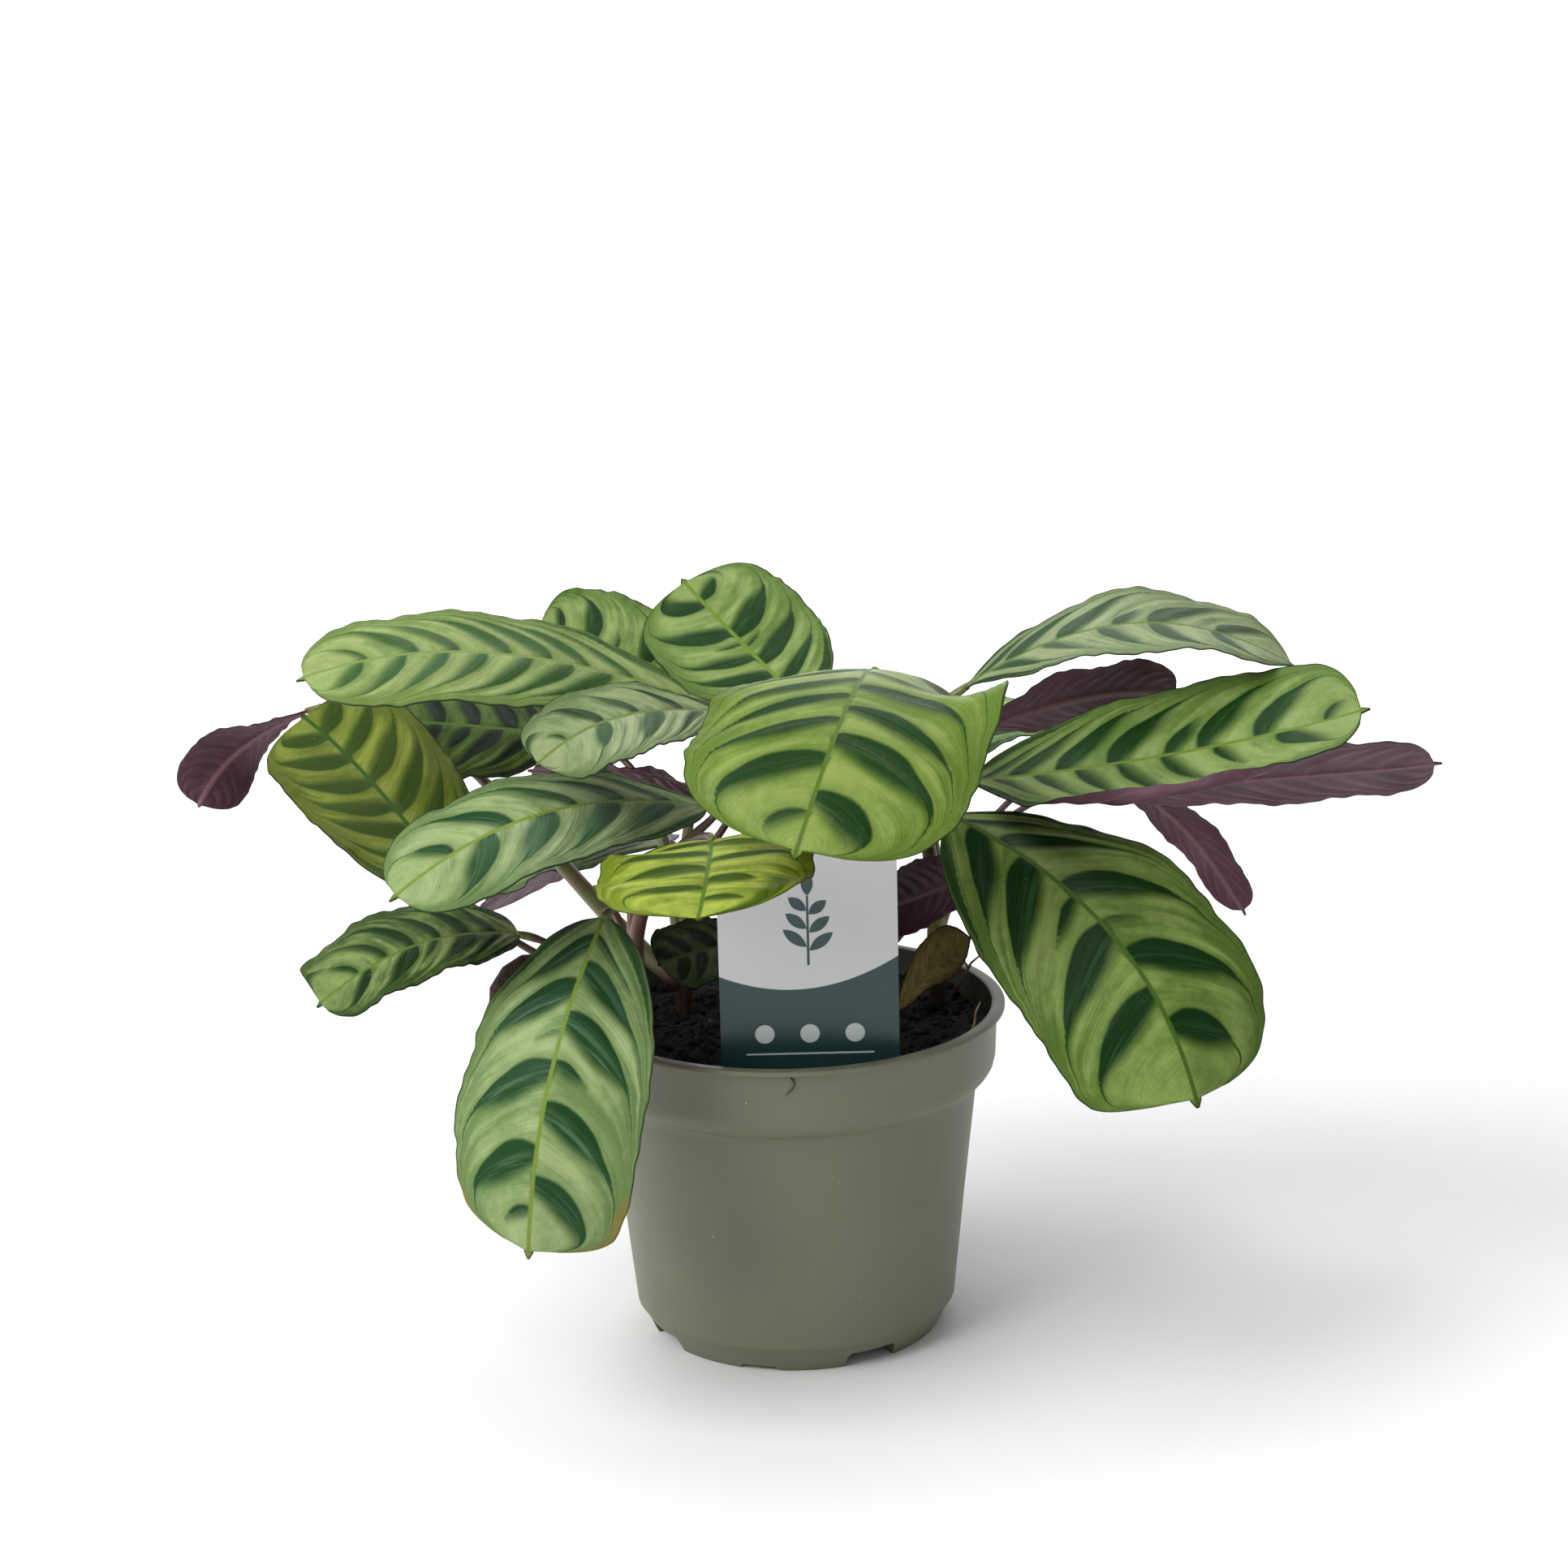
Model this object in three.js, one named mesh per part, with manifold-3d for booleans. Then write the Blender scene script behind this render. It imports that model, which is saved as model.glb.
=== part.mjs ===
// A potted fishbone prayer plant: patterned, waved leaves on thin petioles, in a 12 cm nursery pot
// with its soil and a plain plant label. Millimetres, +Z up, +X to the right, -Y to the front.
// The origin is on the pot's axis, on the surface that the pot stands on.

import * as THREE from "three";
import { mergeVertices } from "three/addons/utils/BufferGeometryUtils.js";
import Module from "manifold-3d";

const wasm = await Module();
wasm.setup();

// Driving dimensions of the pot.
const POT_HEIGHT = 93;
const LIP_RADIUS = 60;
const LIP_THICK = 1.5;
const BAND_RADIUS = 57.8;
const BAND_LOW_RADIUS = 57.3;
const BAND_LOW_Z = 78.5;
const NECK_RADIUS = 52;
const NECK_Z = 71.5;
const CORNER_RADIUS = 45.2;
const CORNER_Z = 9;
const FOOT_RADIUS = 41;
const FOOT_WIDTH = 5;
const FOOT_FLARE = 1.5;
const FOOT_FLARE_Z = 3.5;
const FOOT_TOP_Z = 7.2;
const EDGE = 0.4;
const WALL = 1.5;
const FLOOR_Z = 2.5;
const POT_SIDES = 40;
const NOTCHES = 4;
const NOTCH_WIDTH = 15;
const NOTCH_HEIGHT = 4;
const NOTCH_TURN = 29;
const STEP_WIDTH = 11;
const STEP_HEIGHT = 1.2;
const STEP_TURN = -15;
const DRAIN_HOLES = 6;
const DRAIN_RADIUS = 3.5;
const DRAIN_RING = 30;

// The soil lies a little under the lip and is uneven.
const GAP = 0.3;
const SOIL_Z = 86;
const SOIL_BUMP = 1.3;
const WIDE_WAVE = [9, 8];
const SMALL_WAVE = [3.7, 4.1];
const SOIL_CLEAR = 0.6;
const SOIL_RINGS = 6;
const SOIL_SIDES = 28;

// The label is a thin card with a spike in the soil.
const LABEL_WIDTH = 47.5;
const LABEL_TOP = 150;
const LABEL_SHOULDER = 82;
const LABEL_SPIKE = 62;
const LABEL_SPIKE_WIDTH = 14;
const LABEL_THICK = 0.7;
const LABEL_X = 5.3;
const LABEL_Y = -43;
const LABEL_CORNER = 2;
const LABEL_POINT = 8;
const LABEL_SLOPE = 6;
const SLOT_HEIGHT = 30;

// Leaves and petioles.
const BLADE_THICK = 0.7;
const TIP_START = 0.975;
const SPUR_HALF = 0.05;
const SPUR_END = 0.012;
const WIDEST_SHIFT = 1.15;
const BASE_CURVE = 2.2;
const TIP_CURVE = 4.8;
const NECK_HALF = 1.3;
const PETIOLE_RADIUS = 1.2;
const PETIOLE_FOOT_RADIUS = 2;
const PETIOLE_SWELL = 1.12;
const PETIOLE_SWELL_FROM = 0.8;
const PETIOLE_RISE = 0.75;
const PETIOLE_LEAN = 0.12;
const PETIOLE_APPROACH = 0.3;
const PETIOLE_TUCK = 8;
const PETIOLE_SLOPE = 0.8;
const PETIOLE_LOWEST = 94;
const PETIOLE_SIDES = 6;
const PETIOLE_STEPS = 6;
const SHEATH_RADIUS = 2.6;
const SHEATH_FOOT = 64;
const SHEATH_SIDES = 8;
const SHEATH_TAPER = 0.25;

// Where each leafy shoot stands in the soil, and how high its sheathed stem is.
const SHOOTS = {
  shoot_left_front: [-42, -13, 120],
  shoot_left_back: [-30, 14, 112],
  shoot_centre: [-2, 2, 108],
  shoot_right_front: [42, 14, 112],
  shoot_right_back: [22, 24, 110],
};

// How full a blade's base and tip are: the lower, the blunter.
const ROUND = [0.47, 0.44];
const PLAIN = [0.47, 0.62];
const BLUNT = [0.6, 0.42];
const BROAD = [0.72, 0.4];
const TAPERED = [0.9, 0.9];
const SLIM = [0.85, 0.5];

// Each leaf: three points of its midrib, its half width, and how its blade lies.
// lean makes the left half wider than the right one, roll turns the blade round the midrib, fold lifts
// both halves, curl bends the edges further up, twist turns the tip against the base (degrees), and
// wave is the height of the edge's waves (mm).
const LEAVES = [
  { name: "leaf_front_centre", shoot: "shoot_right_front",
    base: [25, -15, 190], mid: [16, -68, 192], tip: [2, -100, 162],
    half: 38, lean: 0, roll: -3, fold: -4, curl: -14, twist: 0,
    wave: 1.3, waves: 2.5, fine: 2, ends: ROUND },
  { name: "leaf_top_centre", shoot: "shoot_centre",
    base: [6, 0, 178], mid: [-10, 30, 188], tip: [-28, 58, 202],
    half: 22, lean: 0, roll: -27, fold: 0, curl: -6, twist: 0,
    wave: 0.7, waves: 3, fine: 1, ends: ROUND },
  { name: "leaf_upper_left", shoot: "shoot_centre",
    base: [-25, 5, 179], mid: [-81, -12, 197], tip: [-128, -25, 193],
    half: 23, lean: 0, roll: -21, fold: -2, curl: -6, twist: 6,
    wave: 0.6, waves: 3.5, fine: 2, ends: ROUND },
  { name: "leaf_upper_left_back", shoot: "shoot_left_back",
    base: [-28, 33, 178], mid: [-50, 48, 185], tip: [-70, 54, 190],
    half: 20, lean: 0, roll: -24, fold: 6, curl: 0, twist: 0,
    wave: 0.7, waves: 3, fine: 1, ends: ROUND },
  { name: "leaf_left_olive", shoot: "shoot_left_front",
    base: [-86, -28, 133], mid: [-114, 8, 157], tip: [-136, 34, 170],
    half: 21, lean: -0.03, roll: -28, fold: 4, curl: -4, twist: 0,
    wave: 1, waves: 3, fine: 1, ends: ROUND },
  { name: "leaf_left_back", shoot: "shoot_left_back",
    base: [-61, 44, 160], mid: [-92, 48, 163], tip: [-121, 50, 165],
    half: 21, lean: 0, roll: -28, fold: -5, curl: -4, twist: 0,
    wave: 1, waves: 3, fine: 1, ends: ROUND },
  { name: "leaf_left_middle", shoot: "shoot_left_front",
    base: [-21, -25, 156], mid: [-63, -50, 162], tip: [-101, -70, 145],
    half: 18.5, lean: -0.1, roll: -26, fold: -10, curl: -6, twist: 0,
    wave: 0.7, waves: 3.5, fine: 2, ends: ROUND },
  { name: "leaf_small_upper", shoot: "shoot_centre",
    base: [-18, -25, 182], mid: [-44, -38, 184], tip: [-64, -48, 174],
    half: 17, lean: 0, roll: -19, fold: -2, curl: 0, twist: 0,
    wave: 0.6, waves: 3, fine: 1, ends: ROUND },
  { name: "leaf_far_left", shoot: "shoot_left_back",
    base: [-141, 80, 161], mid: [-162, 79, 150], tip: [-174, 72, 134],
    half: 12, lean: 0, roll: 55, fold: 0, curl: 0, twist: 45,
    wave: 0.8, waves: 2, fine: 0, ends: SLIM },
  { name: "leaf_low_left", shoot: "shoot_left_front",
    base: [-71, -42, 127], mid: [-98, -50, 127], tip: [-123, -57, 113],
    half: 19, lean: 0, roll: -14, fold: 0, curl: -6, twist: 0,
    wave: 0.8, waves: 3, fine: 1, ends: ROUND },
  { name: "leaf_front_left", shoot: "shoot_left_front",
    base: [-48, -45, 132], mid: [-62, -78, 98], tip: [-69, -80, 51],
    half: 26, lean: 0, roll: -14, fold: -12, curl: -6, twist: 0,
    wave: 1, waves: 3, fine: 2, ends: ROUND },
  { name: "leaf_front_low", shoot: "shoot_left_front",
    base: [-19, -48, 153], mid: [-20, -72, 151], tip: [-22, -93, 145],
    half: 28, lean: 0, roll: 6, fold: 8, curl: -8, twist: 0,
    wave: 1.8, waves: 2.5, fine: 1, ends: PLAIN },
  { name: "leaf_by_soil", shoot: "shoot_centre",
    base: [-7, -16, 115], mid: [-22, -24, 116], tip: [-35, -31, 114],
    half: 11, lean: 0, roll: -35, fold: 0, curl: 0, twist: 0,
    wave: 0.8, waves: 2, fine: 0, ends: ROUND },
  { name: "leaf_right_top", shoot: "shoot_right_back",
    base: [51, 15, 178], mid: [97, 5, 197], tip: [140, -5, 185],
    half: 21, lean: 0, roll: 12, fold: 2, curl: 0, twist: -12,
    wave: 1, waves: 2.5, fine: 2, ends: TAPERED },
  { name: "leaf_right_long", shoot: "shoot_right_front",
    base: [50, -20, 160], mid: [104, -30, 169], tip: [153, -40, 182],
    half: 23.5, lean: 0.15, roll: 21, fold: 3, curl: 10, twist: 0,
    wave: 0.6, waves: 3.5, fine: 2, ends: BLUNT },
  { name: "leaf_right_front", shoot: "shoot_right_front",
    base: [44, -28, 153], mid: [83, -68, 131], tip: [103, -86, 90],
    half: 31, lean: 0, roll: 34, fold: -16, curl: -8, twist: 0,
    wave: 1, waves: 3, fine: 2, ends: BROAD },
  { name: "leaf_right_back", shoot: "shoot_right_back",
    base: [58, 38, 161], mid: [87, 44, 168], tip: [114, 46, 168],
    half: 14, lean: 0, roll: -47, fold: 0, curl: 6, twist: 0,
    wave: 1, waves: 2.5, fine: 0, ends: ROUND },
  { name: "leaf_far_right", shoot: "shoot_right_back",
    base: [83, 20, 147], mid: [134, 12, 151], tip: [181, 3, 156],
    half: 24, lean: 0, roll: -33, fold: 0, curl: 0, twist: 0,
    wave: 0.6, waves: 3, fine: 1, ends: BLUNT },
  { name: "leaf_right_hanging", shoot: "shoot_right_back",
    base: [87, 40, 148], mid: [114, 50, 129], tip: [134, 48, 100],
    half: 10, lean: 0, roll: -33, fold: 0, curl: 0, twist: 0,
    wave: 0.8, waves: 3, fine: 0, ends: BLUNT },
  { name: "leaf_by_label", shoot: "shoot_right_front",
    base: [55, 0, 132], mid: [40, -3, 125], tip: [20, -8, 120],
    half: 13, lean: 0, roll: 62, fold: 0, curl: 0, twist: 0,
    wave: 0.8, waves: 2, fine: 0, ends: ROUND },
  { name: "leaf_left_inner", shoot: "shoot_left_back",
    base: [-19, 5, 149], mid: [-44, 3, 156], tip: [-70, 0, 161],
    half: 17, lean: 0, roll: 30, fold: 0, curl: 0, twist: 0,
    wave: 1, waves: 3, fine: 0, ends: ROUND },
  { name: "leaf_back_centre", shoot: "shoot_centre",
    base: [17, 25, 150], mid: [18, 68, 146], tip: [16, 100, 122],
    half: 24, lean: 0, roll: 0, fold: -2, curl: -6, twist: 0,
    wave: 1.2, waves: 3, fine: 1, ends: ROUND },
  { name: "leaf_back_left", shoot: "shoot_centre",
    base: [-8, 32, 158], mid: [-38, 66, 170], tip: [-70, 92, 168],
    half: 21, lean: 0, roll: 2, fold: 4, curl: -4, twist: 0,
    wave: 1.2, waves: 3, fine: 1, ends: ROUND },
  { name: "leaf_back_right", shoot: "shoot_right_back",
    base: [36, 36, 150], mid: [66, 77, 156], tip: [95, 90, 149],
    half: 20, lean: 0, roll: 2, fold: -4, curl: -4, twist: 0,
    wave: 1.2, waves: 3, fine: 1, ends: ROUND },
  { name: "leaf_back_left_low", shoot: "shoot_left_back",
    base: [-34, 42, 128], mid: [-65, 76, 115], tip: [-92, 95, 92],
    half: 21, lean: 0, roll: -5, fold: -4, curl: -4, twist: 0,
    wave: 1.2, waves: 3, fine: 1, ends: ROUND },
  { name: "leaf_back_low", shoot: "shoot_right_back",
    base: [9, 38, 134], mid: [8, 80, 112], tip: [9, 98, 72],
    half: 22, lean: 0, roll: 1, fold: -6, curl: -4, twist: 0,
    wave: 1, waves: 3, fine: 1, ends: ROUND },
  { name: "dry_sheath", shoot: null,
    base: [30, 5, 86.4], mid: [40, 3, 100], tip: [51, -2, 111],
    half: 8, lean: 0, roll: 45, fold: 10, curl: 20, twist: 20,
    wave: 0.6, waves: 2, fine: 0, ends: TAPERED },
];
const FINENESS = [[4, 8], [6, 10], [8, 13]];

// Colours: sRGB, from the photographed object.
const POT_COLOUR = 0x6b6b5c;
const SOIL_COLOUR = 0x211c18;
const LABEL_COLOUR = 0xd4d8d6;
const LEAF_COLOUR = 0x7fa862;
const OLIVE_COLOUR = 0x8a8f45;
const PURPLE_COLOUR = 0x5f4149;
const PETIOLE_COLOUR = 0x8a7355;
const DRY_COLOUR = 0x8a7a55;

const UP = new THREE.Vector3(0, 0, 1);
const radians = THREE.MathUtils.degToRad;

// Closed meshes and solids.

function meshGeometry(points, triangles) {
  const geometry = new THREE.BufferGeometry();
  const flat = points.flatMap((p) => [p.x, p.y, p.z]);
  geometry.setAttribute("position", new THREE.Float32BufferAttribute(flat, 3));
  geometry.setIndex(triangles.flat());
  return geometry;
}

function merged(geometry) {
  const bare = geometry.clone();
  bare.deleteAttribute("normal");
  bare.deleteAttribute("uv");
  return mergeVertices(bare, 1e-4);
}

function toSolid(geometry) {
  const one = merged(geometry);
  const mesh = new wasm.Mesh({
    numProp: 3,
    vertProperties: new Float32Array(one.attributes.position.array),
    triVerts: new Uint32Array(one.index.array),
  });
  return new wasm.Manifold(mesh);
}

function toGeometry(solid) {
  const mesh = solid.getMesh();
  const geometry = new THREE.BufferGeometry();
  const points = new Float32Array(mesh.vertProperties);
  geometry.setAttribute("position", new THREE.BufferAttribute(points, 3));
  geometry.setIndex(new THREE.BufferAttribute(new Uint32Array(mesh.triVerts), 1));
  return geometry;
}

// A tube with flat ends through rings of the given radii along a curve.
function tube(curve, steps, sides, radiusAt) {
  const frames = curve.computeFrenetFrames(steps, false);
  const points = [];
  const triangles = [];
  for (let i = 0; i <= steps; i += 1) {
    const centre = curve.getPointAt(i / steps);
    const radius = radiusAt(i / steps);
    for (let j = 0; j < sides; j += 1) {
      const angle = (2 * Math.PI * j) / sides;
      const point = centre.clone();
      point.addScaledVector(frames.normals[i], radius * Math.cos(angle));
      point.addScaledVector(frames.binormals[i], radius * Math.sin(angle));
      points.push(point);
    }
  }
  for (let i = 0; i < steps; i += 1) {
    for (let j = 0; j < sides; j += 1) {
      const next = (j + 1) % sides;
      const [a, b] = [i * sides + j, i * sides + next];
      triangles.push([a, b, a + sides], [b, b + sides, a + sides]);
    }
  }
  const last = steps * sides;
  for (let j = 1; j < sides - 1; j += 1) {
    triangles.push([0, j + 1, j], [last, last + j, last + j + 1]);
  }
  return meshGeometry(points, triangles);
}

// The pot.

function potGeometry() {
  const lipLow = POT_HEIGHT - LIP_THICK;
  const footIn = FOOT_RADIUS - FOOT_WIDTH;
  const neckFlare = 2.3;
  const bandChamfer = [0.9, 3.4];
  const profile = [
    [0, FLOOR_Z], [footIn - EDGE, FLOOR_Z], [footIn, 0], [FOOT_RADIUS, 0],
    [FOOT_RADIUS + FOOT_FLARE, FOOT_FLARE_Z], [CORNER_RADIUS - 2 * EDGE, FOOT_TOP_Z],
    [CORNER_RADIUS - EDGE / 2, FOOT_TOP_Z + EDGE], [CORNER_RADIUS, CORNER_Z], [NECK_RADIUS, NECK_Z],
    [NECK_RADIUS + neckFlare, NECK_Z + 3 * EDGE],
    [BAND_LOW_RADIUS - bandChamfer[0], BAND_LOW_Z - bandChamfer[1]], [BAND_LOW_RADIUS, BAND_LOW_Z],
    [BAND_RADIUS, lipLow - EDGE], [LIP_RADIUS - EDGE, lipLow], [LIP_RADIUS, lipLow + EDGE],
    [LIP_RADIUS, POT_HEIGHT - EDGE], [LIP_RADIUS - EDGE, POT_HEIGHT],
    [BAND_RADIUS - WALL + EDGE, POT_HEIGHT], [BAND_RADIUS - WALL, POT_HEIGHT - EDGE],
    [BAND_LOW_RADIUS - WALL - EDGE, BAND_LOW_Z - 2 * EDGE],
    [NECK_RADIUS - WALL, NECK_Z - EDGE], [CORNER_RADIUS - WALL, CORNER_Z + EDGE],
    [FOOT_RADIUS, FLOOR_Z + WALL], [0, FLOOR_Z + WALL],
  ];
  const points = profile.map(([r, z]) => new THREE.Vector2(r, z));
  const lathe = new THREE.LatheGeometry(points, POT_SIDES);
  lathe.rotateX(Math.PI / 2);
  let pot = toSolid(lathe);
  const cut = (width, height, turn) => {
    const box = new THREE.BoxGeometry(FOOT_WIDTH * 3, width, 2 * height);
    box.translate(FOOT_RADIUS - 1, 0, 0);
    box.rotateZ(radians(turn - 90));
    pot = pot.subtract(toSolid(box));
  };
  for (let i = 0; i < NOTCHES; i += 1) {
    const turn = (360 * i) / NOTCHES;
    cut(NOTCH_WIDTH, NOTCH_HEIGHT, NOTCH_TURN + turn);
    cut(STEP_WIDTH, STEP_HEIGHT, STEP_TURN + turn);
  }
  for (let i = 0; i < DRAIN_HOLES; i += 1) {
    const hole = new THREE.CylinderGeometry(DRAIN_RADIUS, DRAIN_RADIUS, 4 * FLOOR_Z, 10);
    hole.rotateX(Math.PI / 2);
    hole.translate(DRAIN_RING, 0, FLOOR_Z);
    hole.rotateZ((2 * Math.PI * (i + 0.5)) / DRAIN_HOLES);
    pot = pot.subtract(toSolid(hole));
  }
  return toGeometry(pot);
}

// The soil: an uneven top over the pot's tapering inside, with plain holes for what stands in it.

function potInside(z) {
  const low = CORNER_Z + EDGE;
  const high = NECK_Z - EDGE;
  const t = (z - low) / (high - low);
  return CORNER_RADIUS - WALL + t * (NECK_RADIUS - CORNER_RADIUS);
}

function soilTop(x, y) {
  const wide = Math.sin(x / WIDE_WAVE[0] + 1) * Math.cos(y / WIDE_WAVE[1] - 0.5);
  const small = Math.sin(x / SMALL_WAVE[0] - y / SMALL_WAVE[1] + 2);
  return SOIL_Z + SOIL_BUMP * (0.7 * wide + 0.4 * small);
}

function soilGeometry() {
  const wallTop = BAND_LOW_RADIUS - WALL - 1;
  const floor = FLOOR_Z + WALL + GAP;
  const sides = [
    [0, floor], [FOOT_RADIUS - 1, floor], [CORNER_RADIUS - WALL - SOIL_CLEAR, CORNER_Z + 1],
    [potInside(NECK_Z - 2) - SOIL_CLEAR, NECK_Z - 2], [wallTop - 3, NECK_Z + 6],
    [wallTop - SOIL_CLEAR, NECK_Z + 9],
  ];
  const rim = [];
  for (let i = SOIL_RINGS; i >= 0; i -= 1) {
    rim.push([((wallTop - SOIL_CLEAR) * i) / SOIL_RINGS, null]);
  }
  const points = [];
  const triangles = [];
  const rings = [...sides, ...rim];
  for (const [radius, z] of rings) {
    for (let j = 0; j < SOIL_SIDES; j += 1) {
      const angle = (2 * Math.PI * j) / SOIL_SIDES;
      const [x, y] = [radius * Math.cos(angle), radius * Math.sin(angle)];
      points.push(new THREE.Vector3(x, y, z ?? soilTop(x, y)));
    }
  }
  for (let i = 0; i < rings.length - 1; i += 1) {
    for (let j = 0; j < SOIL_SIDES; j += 1) {
      const next = (j + 1) % SOIL_SIDES;
      const [a, b] = [i * SOIL_SIDES + j, i * SOIL_SIDES + next];
      const [c, d] = [a + SOIL_SIDES, b + SOIL_SIDES];
      if (rings[i][0] > 0) {
        triangles.push([a, b, d]);
      }
      if (rings[i + 1][0] > 0) {
        triangles.push([a, d, c]);
      }
    }
  }
  let soil = toSolid(meshGeometry(points, triangles));
  const depth = SOIL_Z + 5 - SHEATH_FOOT;
  const bore = SHEATH_RADIUS + GAP;
  for (const [x, y] of Object.values(SHOOTS)) {
    const hole = new THREE.CylinderGeometry(bore, bore, depth, SHEATH_SIDES);
    hole.rotateX(Math.PI / 2);
    hole.rotateZ(Math.PI / SHEATH_SIDES);
    hole.translate(x, y, SHEATH_FOOT - GAP + depth / 2);
    soil = soil.subtract(toSolid(hole));
  }
  const slot = new THREE.BoxGeometry(LABEL_WIDTH + 2 * GAP, LABEL_THICK + 2 * GAP, SLOT_HEIGHT);
  slot.translate(LABEL_X, LABEL_Y, LABEL_SPIKE - GAP + SLOT_HEIGHT / 2);
  return toGeometry(soil.subtract(toSolid(slot)));
}

// The label: a rectangular card that narrows to a spike below the soil.

function labelGeometry() {
  const half = LABEL_WIDTH / 2;
  const spike = LABEL_SPIKE_WIDTH / 2;
  const shape = new THREE.Shape();
  shape.moveTo(0, LABEL_SPIKE);
  shape.lineTo(spike, LABEL_SPIKE + LABEL_POINT);
  shape.lineTo(spike, LABEL_SHOULDER - LABEL_SLOPE);
  shape.lineTo(half, LABEL_SHOULDER);
  shape.lineTo(half, LABEL_TOP - LABEL_CORNER);
  shape.lineTo(half - LABEL_CORNER, LABEL_TOP);
  shape.lineTo(LABEL_CORNER - half, LABEL_TOP);
  shape.lineTo(-half, LABEL_TOP - LABEL_CORNER);
  shape.lineTo(-half, LABEL_SHOULDER);
  shape.lineTo(-spike, LABEL_SHOULDER - LABEL_SLOPE);
  shape.lineTo(-spike, LABEL_SPIKE + LABEL_POINT);
  const card = new THREE.ExtrudeGeometry(shape, { depth: LABEL_THICK, bevelEnabled: false });
  card.rotateX(Math.PI / 2);
  card.translate(LABEL_X, LABEL_Y + LABEL_THICK / 2, 0);
  return card;
}

// Leaf blades.

// A point of the midrib, by a parabola through its three points, and its direction there.
function midrib(leaf, v) {
  const [b, m, t] = [leaf.base, leaf.mid, leaf.tip].map((p) => new THREE.Vector3(...p));
  const point = b.clone().multiplyScalar(2 * v * v - 3 * v + 1);
  point.addScaledVector(m, 4 * v - 4 * v * v).addScaledVector(t, 2 * v * v - v);
  const along = b.multiplyScalar(4 * v - 3).addScaledVector(m, 4 - 8 * v).addScaledVector(t, 4 * v - 1);
  return { point, along: along.normalize() };
}

// The blade's half width as a share of its widest, with a small spur at the tip.
function outline(v, [baseEnd, tipEnd]) {
  if (v > TIP_START) {
    return SPUR_HALF * (1 - v) / (1 - TIP_START) + SPUR_END;
  }
  const s = Math.pow(v / TIP_START, WIDEST_SHIFT);
  const body = s < 0.5
    ? Math.pow(1 - Math.pow(1 - 2 * s, BASE_CURVE), baseEnd)
    : Math.pow(1 - Math.pow(2 * s - 1, TIP_CURVE), tipEnd);
  return Math.max(body, SPUR_HALF);
}

// A point of the blade's middle surface: u from -1 (right edge) to 1 (left edge), v from base to tip.
function bladePoint(leaf, u, v) {
  const middle = midrib(leaf, 0.5).along;
  const { point, along } = midrib(leaf, v);
  const turn = new THREE.Quaternion().setFromUnitVectors(middle, along);
  const left = new THREE.Vector3().crossVectors(UP, middle).normalize();
  const top = new THREE.Vector3().crossVectors(middle, left);
  left.applyQuaternion(turn);
  top.applyQuaternion(turn);
  const roll = radians(leaf.roll + leaf.twist * (2 * v - 1));
  const side = Math.sign(u);
  const full = leaf.half * (1 + side * leaf.lean) * outline(v, leaf.ends);
  const width = Math.max(full, v < 0.5 ? NECK_HALF : 0);
  const steps = 4;
  let bend = 0;
  for (let i = 0; i < steps; i += 1) {
    const s = (Math.abs(u) * (i + 0.5)) / steps;
    bend = radians(leaf.fold + leaf.curl * s * s);
    const step = (width * Math.abs(u)) / steps;
    const angle = roll + side * bend;
    point.addScaledVector(left, side * step * Math.cos(angle));
    point.addScaledVector(top, side * step * Math.sin(angle));
  }
  const ripple = Math.sin(2 * Math.PI * leaf.waves * v + (u > 0 ? 0.6 : 2.4));
  const lift = leaf.wave * ripple * u * u * Math.min(1, 6 * v, 6 * (1 - v));
  const angle = roll + side * bend;
  point.addScaledVector(left, -lift * Math.sin(angle));
  point.addScaledVector(top, lift * Math.cos(angle));
  return point;
}

function bladeGeometry(leaf) {
  const [across, rows] = FINENESS[leaf.fine];
  const vs = [];
  for (let j = 0; j < rows; j += 1) {
    const t = j / (rows - 1);
    vs.push(TIP_START * (0.45 * t + 0.55 * (1 - Math.cos(Math.PI * t)) / 2));
  }
  vs.push(1);
  const grid = vs.map((v) => {
    const row = [];
    for (let i = 0; i <= across; i += 1) {
      row.push(bladePoint(leaf, (2 * i) / across - 1, v));
    }
    return row;
  });
  const points = [];
  const last = vs.length - 1;
  const count = across + 1;
  for (const face of [0.5, -0.5]) {
    for (let j = 0; j <= last; j += 1) {
      for (let i = 0; i <= across; i += 1) {
        const along = grid[Math.min(j + 1, last)][i].clone().sub(grid[Math.max(j - 1, 0)][i]);
        const over = grid[j][Math.min(i + 1, across)].clone().sub(grid[j][Math.max(i - 1, 0)]);
        const normal = along.cross(over).normalize();
        points.push(grid[j][i].clone().addScaledVector(normal, face * BLADE_THICK));
      }
    }
  }
  const under = count * (last + 1);
  const triangles = [];
  for (let j = 0; j < last; j += 1) {
    for (let i = 0; i < across; i += 1) {
      const a = j * count + i;
      const [b, c, d] = [a + 1, a + count, a + count + 1];
      triangles.push([a, c, d], [a, d, b]);
      triangles.push([a + under, d + under, c + under], [a + under, b + under, d + under]);
    }
  }
  const rim = [];
  for (let i = 0; i < across; i += 1) {
    rim.push([i, i + 1], [last * count + i + 1, last * count + i]);
  }
  for (let j = 0; j < last; j += 1) {
    rim.push([(j + 1) * count, j * count], [j * count + across, (j + 1) * count + across]);
  }
  for (const [a, b] of rim) {
    triangles.push([a, b, b + under], [a, b + under, a + under]);
  }
  return meshGeometry(points, triangles);
}

// A shoot: its sheathed stem in the soil and a petiole to each of its leaves.

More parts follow.
